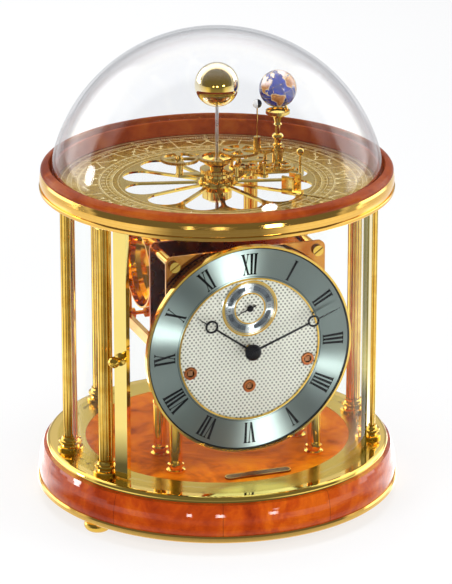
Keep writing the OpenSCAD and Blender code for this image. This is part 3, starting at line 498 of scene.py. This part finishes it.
def glyph(text):
    """The flat mesh of a plain number, one unit high, centred."""
    if text not in glyph_store:
        curve = bpy.data.curves.new("glyph", "FONT")
        curve.body, curve.align_x, curve.align_y = text, "CENTER", "CENTER"
        curve.size, curve.resolution_u = GLYPH_SIZE, GLYPH_STEPS
        obj = bpy.data.objects.new("glyph", curve)
        bpy.context.scene.collection.objects.link(obj)
        bpy.context.view_layer.update()
        mesh = bpy.data.meshes.new_from_object(obj)
        glyph_store[text] = ([(v.co.x, v.co.y) for v in mesh.vertices],
                             [list(p.vertices) for p in mesh.polygons])
        bpy.data.objects.remove(obj)
        bpy.data.curves.remove(curve)
        bpy.data.meshes.remove(mesh)
    return glyph_store[text]


def write_number(flat, text, centre, turn, size):
    points, faces = glyph(text)
    base = len(flat.verts)
    c, s = math.cos(turn), math.sin(turn)
    for x, y in points:
        flat.verts.append(flat.place(centre[0] + size * (x * c - y * s), centre[1] + size * (x * s + y * c),
                                     flat.height))
    flat.faces += [[base + i for i in f] for f in faces]


# The dial: numerals and lines

NUMERAL_R, NUMERAL_HIGH = 56, 15.8
LETTER_WIDE = {"I": 2.9, "V": 5.6, "X": 5.8}
THICK, THIN = 1.75, 0.6
THICK_INSET, THIN_INSET, FOOT_INSET, V_GAP = 1.2, 1.1, 1.15, 0.25
SERIF, FLARE = 0.5, 0.55
I_FOOT, THICK_FOOT, THIN_FOOT = 2.7, 2.5, 2.0


def on_dial(x, z, h):
    return (x, FACE_Y - h, Z_DIAL + z)


def numeral(flat, text, hour):
    """One Roman numeral, its feet to the centre, its strokes along the ring's radii."""
    at = -sum(LETTER_WIDE[c] for c in text) / 2
    turn = math.radians(30 * hour)
    mean_r = NUMERAL_R + NUMERAL_HIGH / 2

    def spot(x, h):
        return clockwise(NUMERAL_R + h, turn + x / mean_r)

    def stroke(x0, x1, w):
        flat.outline([spot(x0 - w / 2, 0), spot(x0 + w / 2, 0), spot(x1 + w / 2, NUMERAL_HIGH),
                      spot(x1 - w / 2, NUMERAL_HIGH)])

    def foot(x, w, top):
        """A serif with a short flare towards its stroke."""
        edge, way = (NUMERAL_HIGH, -1) if top else (0, 1)
        inner = edge + way * SERIF
        tip = inner + way * FLARE
        points = [(-w / 2, edge), (w / 2, edge), (w / 2, inner), (w / 4, tip), (-w / 4, tip), (-w / 2, inner)]
        flat.outline([spot(x + dx, h) for dx, h in (points[::-1] if top else points)])

    for c in text:
        half = LETTER_WIDE[c] / 2
        x = at + half
        thick, thin = half - THICK_INSET, half - THIN_INSET
        if c == "I":
            stroke(x, x, THICK)
            foot(x, I_FOOT, False)
            foot(x, I_FOOT, True)
        if c == "V":
            stroke(x, x - thick, THICK)
            stroke(x + V_GAP, x + thin, THIN)
            foot(x - thick, THICK_FOOT, True)
            foot(x + thin, THIN_FOOT, True)
        if c == "X":
            stroke(x + thick, x - thick, THICK)
            stroke(x - thin, x + thin, THIN)
            for way, top, broad in ((-1, True, THICK_FOOT), (1, True, THIN_FOOT), (1, False, THICK_FOOT),
                                    (-1, False, THIN_FOOT)):
                foot(x + way * (half - FOOT_INSET), broad, top)
        at += 2 * half


ink = Flat(on_dial, INK_RISE)
for hour, text in enumerate(("XII", "I", "II", "III", "IIII", "V", "VI", "VII", "VIII", "IX", "X", "XI")):
    numeral(ink, text, hour)
ink.make("dial_numerals", print_black, "clock")
lines = Flat(on_dial, LINE_RISE)
for r, w in ((54.4, 0.3), (75.4, 1.0)):
    lines.ring(r, w, DIAL_STEPS)
lines.make("dial_lines", print_black, "clock")


def on_subdial(lift):
    """The small dial's face, lifted towards the viewer."""
    return lambda x, z, h: (SUBDIAL[0] + x, SUBDIAL_Y - lift - h, SUBDIAL[1] + z)


# The scale of the small dial: dark fields, fine circles, ticks and plain numbers
FIELD_R, FIELD_W, FIELD_HALF = 15, 3.6, 0.58
TICK_OUT, TICK_IN, LONG_TICK_IN, TICK_W = 18.2, 17.2, 16.9, 0.2
NUMBER_SIZE = 2.2

fields = Flat(on_subdial(0), FIELD_RISE)
for i in range(4):
    mid = math.radians(45 + 90 * i)
    fields.ring(FIELD_R, FIELD_W, FIELD_STEPS, start=mid - FIELD_HALF, end=mid + FIELD_HALF)
fields.make("subdial_fields", slate, "clock")
scale = Flat(on_subdial(FIELD_RISE), SCALE_RISE)
for r, w in ((TICK_OUT, 0.2), (TICK_IN, 0.14), (12.6, 0.2)):
    scale.ring(r, w, SCALE_STEPS)
for i in range(60):
    a = 2 * math.pi * i / 60
    scale.bar(clockwise(TICK_IN if i % 5 else LONG_TICK_IN, a), clockwise(TICK_OUT, a), TICK_W)
for i in range(12):
    a = math.radians(30 * i)
    write_number(scale, str(5 * (i or 12)), clockwise(FIELD_R, a), -a, NUMBER_SIZE)
scale.make("subdial_scale", print_black, "clock")


def hub_dome():
    """The glossy domed nut over the hands, smooth over the faceted one."""
    verts = []
    for i in range(HUB_ROWS + 1):
        r, rise = polar(1, math.pi / 2 * i / HUB_ROWS)
        for j in range(HUB_STEPS):
            x, z = polar(HUB_R * r, 2 * math.pi * j / HUB_STEPS)
            verts.append((x, HUB_BACK - HUB_RISE * rise, Z_DIAL + z))
    faces = wrapped(HUB_ROWS + 1, HUB_STEPS)
    piece("hub_dome", verts, faces, hand_black, "minute_works", True)


hub_dome()


# The engraving of the tellurium plate: degrees, signs, days and months

DEGREE_IN, DEGREE_SHORT, DEGREE_OUT = 75.3, 77.4, 79.4
SIGN_IN, SIGN_OUT, DAY_OUT = 84.4, 104.6, 107.8
DEGREE_TEXT_R, SIGN_TEXT_R, MONTH_TEXT_R, SMALL_TEXT, MONTH_TEXT = 81.9, 102.4, 110, 2.6, 3.2
CIRCLES = ((71.2, 0.25), (DEGREE_IN, 0.35), (DEGREE_OUT, 0.25), (SIGN_IN, 0.35), (85.3, 0.2), (99.4, 0.2),
           (100.3, 0.35), (SIGN_OUT, 0.2), (DAY_OUT, 0.3), (112.2, 0.4))


def on_plate(x, y, h):
    return (x, y, Z_DECK + h)


def marks(flat, count, inner, outer, w):
    """Radial lines all round; outer is a function of a line's number."""
    for i in range(count):
        a = 2 * math.pi * i / count
        flat.bar(polar(inner, a), polar(outer(i), a), w)


def numbers_round(flat, texts, r, first, size):
    """Numbers evenly round the plate, the first one at an angle in degrees."""
    for i, text in enumerate(texts):
        degrees = first + 360 * i / len(texts)
        write_number(flat, text, polar(r, math.radians(degrees)), math.radians(degrees - 90), size)


cut = Flat(on_plate, CUT_RISE)
for r, w in CIRCLES:
    cut.ring(r, w, PLATE_STEPS)
marks(cut, 360, DEGREE_IN, lambda i: DEGREE_SHORT if i % 5 else DEGREE_OUT, 0.28)
marks(cut, 365, SIGN_OUT, lambda i: DAY_OUT, 0.3)
marks(cut, 12, SIGN_IN, lambda i: SIGN_OUT, 0.45)
numbers_round(cut, [str(5 * (i % 6 + 1)) for i in range(72)], DEGREE_TEXT_R, 0, SMALL_TEXT)
numbers_round(cut, [str(10 * (i % 3 + 1)) for i in range(36)], SIGN_TEXT_R, 5, SMALL_TEXT)
numbers_round(cut, [str(i + 1) for i in range(12)], MONTH_TEXT_R, 15, MONTH_TEXT)
cut.make("plate_engraving", painted_glint_lines, "clock")

# Twelve plain star groups, one in each field
GROUP_R, GROUP_WAVE, GROUP_SPREAD, GROUP_LINE = 92.4, 5, 0.8, 0.5
GROUP_FROM, GROUP_SPAN = 5, 20
BIG_STAR, SMALL_STAR, STAR_WAIST = 2.1, 1.5, 0.42

stars = Flat(on_plate, STAR_RISE)
for i in range(12):
    count = 5 + (i * 5) % 4
    spots = []
    for k in range(count):
        a = math.radians(30 * i + GROUP_FROM + GROUP_SPAN * (k + 0.5) / count + random.uniform(-1, 1))
        r = GROUP_R + GROUP_WAVE * math.sin(k * 2.1 + i) + random.uniform(-GROUP_SPREAD, GROUP_SPREAD)
        spots.append(polar(r, a))
    for p, q in zip(spots, spots[1:]):
        stars.bar(p, q, GROUP_LINE)
    for k, p in enumerate(spots):
        size = SMALL_STAR if k % 3 else BIG_STAR
        points = [polar(size * (STAR_WAIST if j % 2 else 1), math.pi * j / 5 + i) for j in range(10)]
        stars.outline([(p[0] + x, p[1] + y) for x, y in points])
stars.make("plate_stars", painted_glint_lines, "clock")


# Round pieces that replace the faceted CAD ones

def ball(name, centre, r, bore, material, body, node, rows, turn=Matrix.Identity(3)):
    """A smooth ball on a post: its lowest cap is left open round the bore."""
    verts, steps = [], rows * 2
    low = math.asin(bore / r)
    for i in range(rows + 1):
        p = (math.pi - low) * (1 - i / rows)
        for j in range(steps):
            x, y = polar(r * math.sin(p), 2 * math.pi * j / steps)
            verts.append(tuple(turn @ Vector((x, y, r * math.cos(p))) + Vector(centre)))
    obj = piece(name, verts, wrapped(rows + 1, steps), material, body, True)
    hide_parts(node)
    return obj


ball("sun_sphere", SUN, SUN_R, SUN_BORE, gold_with_painted_rim, "clock", "sun_ball", SUN_ROWS)

# The globe: land as a smooth field on the mesh, from rough outlines of the continents
LAND = {
    "north_america": [
        (-168, 66), (-156, 71), (-128, 70), (-110, 68), (-95, 72), (-82, 68), (-94, 60), (-93, 57),
        (-80, 52), (-78, 60), (-70, 61), (-64, 58), (-56, 52), (-66, 49), (-61, 46), (-70, 43),
        (-75, 38), (-81, 31), (-80, 25), (-84, 30), (-94, 29), (-97, 22), (-91, 18), (-87, 21),
        (-88, 15), (-83, 10), (-78, 8), (-84, 9), (-95, 15), (-105, 20), (-114, 30), (-120, 34),
        (-124, 42), (-124, 48), (-135, 58), (-150, 60), (-162, 55), (-165, 61)],
    "south_america": [
        (-78, 8), (-72, 12), (-62, 10), (-51, 4), (-50, 0), (-36, -6), (-39, -16), (-48, -26),
        (-57, -36), (-65, -42), (-69, -52), (-74, -50), (-73, -38), (-70, -20), (-81, -5), (-78, 2)],
    "greenland": [
        (-73, 78), (-58, 76), (-51, 66), (-44, 60), (-38, 66), (-22, 71), (-18, 79), (-35, 83)],
    "africa": [
        (-17, 15), (-16, 22), (-6, 35), (10, 37), (20, 32), (32, 31), (38, 20), (44, 11), (51, 11),
        (40, -5), (40, -15), (33, -27), (20, -35), (12, -17), (9, 0), (5, 5), (-8, 5)],
    "eurasia": [
        (-9, 37), (-9, 43), (-1, 45), (4, 52), (9, 55), (8, 58), (5, 62), (20, 70), (40, 67), (68, 70),
        (80, 73), (105, 77), (140, 73), (180, 68), (178, 64), (162, 59), (156, 52), (142, 58),
        (136, 54), (128, 40), (126, 35), (122, 39), (121, 30), (109, 20), (105, 9), (100, 14), (103, 2),
        (97, 17), (88, 22), (80, 13), (77, 8), (72, 20), (60, 25), (57, 20), (45, 13), (38, 24),
        (35, 33), (27, 37), (22, 38), (14, 45), (16, 39), (8, 44), (0, 39)],
    "australia": [
        (114, -22), (122, -17), (131, -12), (137, -15), (142, -11), (146, -19), (153, -27), (149, -38),
        (138, -35), (129, -32), (115, -34)],
}


def edge_distance(x, y, points):
    """Signed distance in degrees to an outline: positive on land."""
    inside, best = False, 1e9
    stretch = max(math.cos(math.radians(y)), 0.2)
    for (x0, y0), (x1, y1) in zip(points, points[1:] + points[:1]):
        if (y0 > y) != (y1 > y) and x < (x1 - x0) * (y - y0) / (y1 - y0) + x0:
            inside = not inside
        dx, dy = (x1 - x0) * stretch, y1 - y0
        px, py = (x - x0) * stretch, y - y0
        t = max(0, min(1, (px * dx + py * dy) / (dx * dx + dy * dy)))
        best = min(best, math.hypot(px - t * dx, py - t * dy))
    return best if inside else -best


COAST, SHORE, GILT_EDGE = 1.6, 0.6, 1.4
SNOW_FROM, SNOW_FULL = 36, 50


def make_globe_look():
    """Enamel seas and land with a gilt coast line, from the land and latitude measured at each point."""
    look = Look("globe_enamel")
    land = look.add("ShaderNodeAttribute", attribute_name="land").outputs["Fac"]
    coast = look.math("ADD", land, look.between(look.noise(420, 4, 0.6), -COAST, COAST))
    height = look.add("ShaderNodeAttribute", attribute_name="latitude").outputs["Fac"]
    sea = look.between(look.noise(160, 5, 0.65, warp=1.0), (0.002, 0.007, 0.11), (0.012, 0.03, 0.32), NARROW)
    ground = look.between(look.noise(500, 4, 0.6), (0.24, 0.07, 0.012), (0.58, 0.24, 0.06), NARROW)
    ground = look.mix(look.scaled(height, SNOW_FROM, SNOW_FULL, 0, 1), ground, (0.85, 0.68, 0.66))
    shore = look.scaled(coast, -SHORE, SHORE, 0, 1)
    gilt = look.scaled(look.math("ABSOLUTE", coast), SHORE, GILT_EDGE, 0.7, 0)
    colour = look.mix(gilt, look.mix(shore, sea, ground), (0.85, 0.66, 0.32))
    return look.principled(colour, 0.0, 0.16, Coat_Weight=0.6, Coat_Roughness=0.03,
                           Normal=look.bump(shore, 0.00006, 0.5))


TURN_OF_MAP, ICE_EDGE = -55, 72
tilt = Matrix.Rotation(-TILT, 3, "Y")
globe = ball("globe_sphere", EARTH, EARTH_R, EARTH_BORE, make_globe_look(), "globe",
             "earth_globe", EARTH_ROWS, tilt)
land, latitude = [], []
back = tilt.transposed()
for v in globe.data.vertices:
    p = back @ (Vector(v.co) / MM - Vector(EARTH))
    lat = math.degrees(math.asin(max(-1, min(1, p.z / EARTH_R))))
    lon = (math.degrees(math.atan2(p.y, p.x)) - TURN_OF_MAP + 180) % 360 - 180
    best = max(edge_distance(lon, lat, points) for points in LAND.values())
    land.append(max(best, -lat - ICE_EDGE))
    latitude.append(abs(lat))
for name, values in (("land", land), ("latitude", latitude)):
    globe.data.attributes.new(name, "FLOAT", "POINT").data.foreach_set("value", values)

GRID_HALF = 0.09


def grid_lines():
    """Fine gilt meridians and parallels on the globe."""
    loops = []
    for k in range(6):
        a = math.radians(30 * k)
        loops.append((Vector((*polar(1, a), 0)), Vector((0, 0, 1)), Vector((0, 0, 0)), EARTH_R))
    for lat in (-60, -30, 0, 30, 60):
        r, z = polar(EARTH_R, math.radians(lat))
        loops.append((Vector((1, 0, 0)), Vector((0, 1, 0)), Vector((0, 0, z)), r))
    verts, faces = [], []
    for u, v, shift, r in loops:
        aside, base = u.cross(v), len(verts)
        for i in range(GRID_STEPS):
            c, s = polar(r, 2 * math.pi * i / GRID_STEPS)
            p = shift + u * c + v * s
            for w, h in ((-GRID_HALF, 0), (0, GRID_RISE), (GRID_HALF, 0)):
                q = (p + aside * w).normalized() * (EARTH_R + h)
                verts.append(tuple(tilt @ q + Vector(EARTH)))
        for i in range(GRID_STEPS):
            a, b = base + 3 * i, base + 3 * ((i + 1) % GRID_STEPS)
            faces += [[a + k, b + k, b + k + 1, a + k + 1] for k in range(2)]
    piece("globe_lines", verts, faces, relief, "globe", True)


grid_lines()


MOON_SPAN, MOON_LINE = (0.4, 0.65), 0.04 * MM


def make_moon_look():
    """Half white, half black: the white half faces the sun at rest."""
    look = Look("moon_enamel")
    sunward = Vector((SUN[X] - MOON[X], SUN[Y] - MOON[Y], 0)).normalized()
    offset = look.add("ShaderNodeVectorMath", {0: look.place, 1: tuple(c * MM for c in MOON)},
                      operation="SUBTRACT").outputs[0]
    white = look.between(look.noise(900, 4), (0.82, 0.82, 0.8), (0.6, 0.6, 0.6), MOON_SPAN)
    half = look.scaled(look.along(sunward, offset), -MOON_LINE, MOON_LINE, 0, 1)
    return look.principled(look.mix(half, (0.008, 0.008, 0.01), white), 0.0, 0.2, Coat_Weight=0.5,
                           Coat_Roughness=0.04)


ball("moon_sphere", MOON, MOON_R, MOON_BORE, make_moon_look(), "moon", "moon_ball", MOON_ROWS)


POLE_R = 0.02


def dome():
    """The dome as a smooth shell of its real thickness."""
    line, steps, rows = [], DOME_STEPS, DOME_ROWS + 1
    for r, way in ((DOME_R, 1), (DOME_R - DOME_WALL, -1)):
        low = math.acos((Z_SEAT - Z_DOME) / r)
        arc = [polar(r, math.pi / 2 - low * (1 - i / DOME_ROWS)) for i in range(DOME_ROWS)]
        line += (arc + [(POLE_R, r)])[::way]
    verts = [(*polar(r, 2 * math.pi * j / steps), Z_DOME + z) for r, z in line for j in range(steps)]
    first, last = rows * steps, (2 * rows - 1) * steps
    faces = wrapped(rows, steps) + wrapped(rows, steps, first)
    faces += [[last + j, last + k, k, j] for j, k in ((j, (j + 1) % steps) for j in range(steps))]
    faces.append([first - steps + j for j in range(steps)])
    faces.append([first + j for j in range(steps)][::-1])
    obj = piece("dome_shell", verts, faces, dome_glass, "dome", True)
    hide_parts("glass_dome")


dome()

# Materials of the CAD nodes
LOOKS = (
    (polished, "feet column_collars door_knob dial_bezel plate_pillars movement_legs"),
    (band_brass, "base_bottom_ring top_brass_ring"),
    (base_wood, "wooden_base"), (inlay_wood, "wood_inlay"), (ring_wood, "top_wood_ring"),
    (plate_brass, "base_top_plate"), (plaque_bronze, "name_plaque"), (column_brass, "column_shafts"),
    (stile_brass, "door_stiles"), (panel_glass, "glass_panels door_glass"),
    (steel, "door_hinge_pins drive_arbor centre_arbor"), (rod_steel, "sun_rod"),
    (tellurium_look, "tellurium_plate"),
    (wheel_brass, "centre_hub sun_wheel orbit_arm gear_bridge counter_wheel axis_idler moon_idler moon_arm"
                  " moon_transfer_wheel earth_carrier date_pointer hour_wheel minute_wheel balance_wheel"),
    (guilloche, "dial_plate"), (chapter_look, "chapter_ring"), (subdial_look, "subdial"),
    (hand_black, "subdial_hand minute_hand hour_hand"), (copper, "winding_grommets"),
    (arbor_painted_shade, "going_winding_arbor strike_winding_arbor chime_winding_arbor"),
    (front_plate_painted_reflection, "front_plate"), (back_plate_painted_reflection, "back_plate"), (bronze, "bells"),
    (movement_brass, "going_barrel strike_barrel chime_barrel bell_stand quarter_hammer chime_hammer"
                     " hour_hammer"),
)
for material, names in LOOKS:
    for name in names.split():
        nodes[name].data.materials.clear()
        nodes[name].data.materials.append(material)

# The gilt outline of the plaque
PLAQUE_MARGIN, PLAQUE_LINE = 0.5, 0.55
PLAQUE_TOP, PLAQUE_Y = side("name_plaque", 1, Z), middle("name_plaque", Y)
PLAQUE_END = side("name_plaque", 1, Y) - PLAQUE_Y
PLAQUE_HALF, PLAQUE_R = side("name_plaque", 1, X) - PLAQUE_END, PLAQUE_END - PLAQUE_MARGIN
outline = Flat(lambda x, y, h: (x, PLAQUE_Y + y, PLAQUE_TOP + h), PLAQUE_RISE)
for way in (-1, 1):
    outline.bar((-PLAQUE_HALF, way * PLAQUE_R), (PLAQUE_HALF, way * PLAQUE_R), PLAQUE_LINE)
    outline.ring(PLAQUE_R, PLAQUE_LINE, END_STEPS, (way * PLAQUE_HALF, 0), -way * math.pi / 2,
                 math.pi - way * math.pi / 2)
outline.make("plaque_outline", polished, "clock")

# Gilt rims and the patterned centre of the small dial
for r, w, lift in ((20.3, 1.1, RIM_LIFT), (19.05, 0.6, LOW_LIFT), (11.3, 1.0, RIM_LIFT)):
    rim = Flat(on_subdial(lift), RIM_RISE)
    rim.ring(r, w, RIM_STEPS)
    rim.make("subdial_rim_%d" % round(r), polished, "clock")
CENTRE_R = 10.7
centre = Flat(on_subdial(LOW_LIFT), CENTRE_RISE)
centre.outline([polar(CENTRE_R, 2 * math.pi * i / CENTRE_STEPS) for i in range(CENTRE_STEPS)])
centre.make("subdial_centre", guilloche, "clock")


# Floor, backdrop and light

# What mirrors see of the floor: how far out each zone begins and ends, in metres, how far ahead it reaches,
# as the cosine of the turn from FRONT, and how much darker or brighter it is
DISTANT_FROM, DISTANT_AHEAD, DISTANT_DARK = (0.22, 0.4), (0.7, 0.9), 0.78
NEAR_FROM, NEAR_TO, NEAR_AHEAD, NEAR_DARK = (0.145, 0.17), (0.23, 0.3), (0.15, 0.3), 0.92
BESIDE_TO, BESIDE_AHEAD, BESIDE_GLOW = (0.2, 0.26), (0.0, 0.15), 1.8
SIDE_FROM, SIDE_TO, SIDE_AHEAD, SIDE_GLOW = (0.16, 0.2), (0.45, 0.6), (-0.35, -0.2), 1.6
BACK_AHEAD = (-0.75, -0.6)
GLOW_SHARE, FLOOR_HALF = 0.72, 6


def make_floor():
    """White to the eye. Mirrors see it dark before the clock, bright at its sides and white elsewhere."""
    look = Look("floor_white")
    light = look.add("ShaderNodeLightPath")
    glossy = light.outputs["Is Glossy Ray"]
    seen = look.math("MAXIMUM", light.outputs["Is Camera Ray"],
                     look.math("MAXIMUM", glossy, light.outputs["Is Transmission Ray"]))
    x, y, z = look.parts()
    far = look.radius(x, y)
    ahead = look.math("DIVIDE", look.along(FRONT), far)
    distant = look.times(look.scaled(ahead, *DISTANT_AHEAD, 0, 1),
                         look.scaled(far, *DISTANT_FROM, 0, DISTANT_DARK))
    near = look.times(look.scaled(far, *NEAR_FROM, 0, NEAR_DARK), look.scaled(far, *NEAR_TO, 1, 0),
                      look.scaled(ahead, *NEAR_AHEAD, 0, 1))
    dark = look.math("MAXIMUM", distant, near)
    beside = look.times(look.scaled(far, *BESIDE_TO, BESIDE_GLOW, 0), look.scaled(ahead, *BESIDE_AHEAD, 1, 0))
    sides = look.times(look.scaled(ahead, *SIDE_AHEAD, SIDE_GLOW, 0), look.scaled(far, *SIDE_FROM, 0, 1),
                       look.scaled(far, *SIDE_TO, 1, 0))
    bright = look.times(look.math("ADD", sides, beside), look.scaled(ahead, *BACK_AHEAD, 0, 1))
    change = look.math("SUBTRACT", bright, dark)
    glow_level = look.math("MULTIPLY_ADD", change, glossy, 1.0)
    tone = look.between(look.noise(2, 2), (0.84, 0.84, 0.84), (0.86, 0.86, 0.86))
    tone = look.mix(look.times(dark, glossy), tone, (0.1, 0.1, 0.1))
    matte = look.add("ShaderNodeBsdfDiffuse", {"Color": tone}).outputs[0]
    glow = look.add("ShaderNodeEmission", {"Color": (1, 1, 1, 1), "Strength": glow_level}).outputs[0]
    return look.finish(look.blend(look.math("MULTIPLY", seen, GLOW_SHARE), matte, glow))


mesh = bpy.data.meshes.new("floor")
grid = bmesh.new()
bmesh.ops.create_grid(grid, x_segments=2, y_segments=2, size=FLOOR_HALF)
grid.to_mesh(mesh)
grid.free()
floor = bpy.data.objects.new("floor", mesh)
bpy.context.scene.collection.objects.link(floor)
mesh.materials.append(make_floor())


MIDDLE = (0, 0, 0.17)
DIAL = (0, -0.07, Z_DIAL * MM)
SILVER = ("chapter_ring", "subdial")


def area(name, at, size, size_y, energy, aim=MIDDLE, only=None):
    """A soft lamp. Mirrors show the room instead of it, unless it lights only the named nodes."""
    lamp = bpy.data.lights.new(name, "AREA")
    lamp.energy, lamp.shape = energy, "RECTANGLE"
    lamp.size, lamp.size_y = size, size_y
    obj = bpy.data.objects.new(name, lamp)
    obj.location = at
    obj.rotation_euler = (Vector(aim) - Vector(at)).to_track_quat("-Z", "Y").to_euler()
    bpy.context.scene.collection.objects.link(obj)
    obj.visible_glossy = only is not None
    if only:
        group = bpy.data.collections.new(name + "_only")
        for node in only:
            group.objects.link(nodes[node])
        obj.light_linking.receiver_collection = group


area("key_left", (-1.3, -0.7, 0.75), 0.6, 1.0, 10)
area("fill_right", (1.25, -0.75, 0.6), 0.6, 0.9, 8)
area("top", (0, -0.1, 1.5), 1.0, 1.0, 11)
area("front", (-0.3, -1.9, 1.1), 0.8, 0.8, 12)
area("rear", (0.2, 1.5, 0.9), 1.0, 1.0, 8)
area("dial_across", (-0.85, -0.92, 0.1), 0.3, 0.22, 18, DIAL, SILVER)
area("dial_above", (0.22, -1.2, 0.75), 0.4, 0.5, 24, DIAL, SILVER)

# Small lights low in the room: turn, rise and half width in degrees, half height as a sine, strength
SPOTS = ((-100, 5.5, 4, 0.09, 18), (-17, 3, 2.5, 0.045, 20), (2, 3, 5, 0.045, 20), (36, 6, 6, 0.05, 20))

# The room's zones for mirrors: how far a direction points at the camera, aside or up, and each zone's level
TENT_TOWARD, TENT_BACK, TENT_FRONT = (0.06, 0.16), 0.9, 0.16
HIGH_TOWARD, HIGH_UP, HIGH_BELOW, HIGH_ABOVE = (-0.02, 0.1), (0.3, 0.6), -0.45, 0.7
WING_ASIDE, WING_BACK, WING_FRONT, WING_UP = (0.4, 0.46), (-0.75, -0.6), (-0.2, -0.14), (0.3, 0.6)
WING_GLOW = 2.4
SPOT_EDGE, ROOM_LEVEL = 0.8, 0.45


def make_room():
    """Mirrors see a dark room with four small lights in front, and a white tent with bright sides behind."""
    look = Look("studio", world=True)
    light = look.add("ShaderNodeLightPath")
    toward, ahead, aside = look.along(AWAY), look.along(FRONT), look.along(ACROSS)
    up = look.parts()[2]
    tent = look.scaled(toward, *TENT_TOWARD, TENT_BACK, TENT_FRONT)
    high = look.times(look.scaled(toward, *HIGH_TOWARD, 1, 0),
                      look.scaled(up, *HIGH_UP, HIGH_BELOW, HIGH_ABOVE))
    wings = look.times(look.scaled(look.math("ABSOLUTE", aside), *WING_ASIDE, 0, 1),
                       look.scaled(toward, *WING_BACK, 0, 1), look.scaled(toward, *WING_FRONT, 1, 0),
                       look.scaled(up, *WING_UP, 1, 0))
    turn = look.math("ARCTAN2", aside, ahead)
    spots = 0.0
    for way, rise, half, tall, strength in SPOTS:
        gap = look.math("DIVIDE", look.math("SUBTRACT", turn, math.radians(way)), math.radians(half))
        lift = look.math("DIVIDE", look.math("SUBTRACT", up, math.sin(math.radians(rise))), tall)
        spots = look.math("ADD", spots, look.scaled(look.radius(gap, lift), SPOT_EDGE, 1.0, strength, 0))
    level = look.math("ADD", look.math("ADD", tent, high), look.math("MULTIPLY_ADD", wings, WING_GLOW, spots))

    def glow(colour, strength):
        return look.add("ShaderNodeBackground", {"Color": (*colour, 1), "Strength": strength}).outputs[0]

    shown, plain, white = glow((1, 1, 1), level), glow((0.9, 0.93, 1.0), ROOM_LEVEL), glow((1, 1, 1), 1.0)
    lit = look.blend(light.outputs["Is Glossy Ray"], plain, shown)
    seen = look.math("MAXIMUM", light.outputs["Is Camera Ray"], light.outputs["Is Transmission Ray"])
    return look.finish(look.blend(seen, lit, white))


bpy.context.scene.world = make_room()

# The camera, at the photograph's angle
SEEN_HEIGHT, SENSOR = 0.4244, 36
LOOK_RIGHT, LOOK_UP = 0.0065, 0.1515
target = LOOK_RIGHT * ACROSS + Vector((0, 0, LOOK_UP))
camera_data = bpy.data.cameras.new("camera")
camera_data.lens = SENSOR * DISTANCE / SEEN_HEIGHT
camera_data.clip_start, camera_data.clip_end = 0.1, 50
camera = bpy.data.objects.new("camera", camera_data)
camera.location = target + AWAY * DISTANCE
camera.rotation_mode = "QUATERNION"
camera.rotation_quaternion = (-AWAY).to_track_quat("-Z", "Y")
bpy.context.scene.collection.objects.link(camera)
bpy.context.scene.camera = camera
bpy.context.scene.view_settings.view_transform = "Standard"
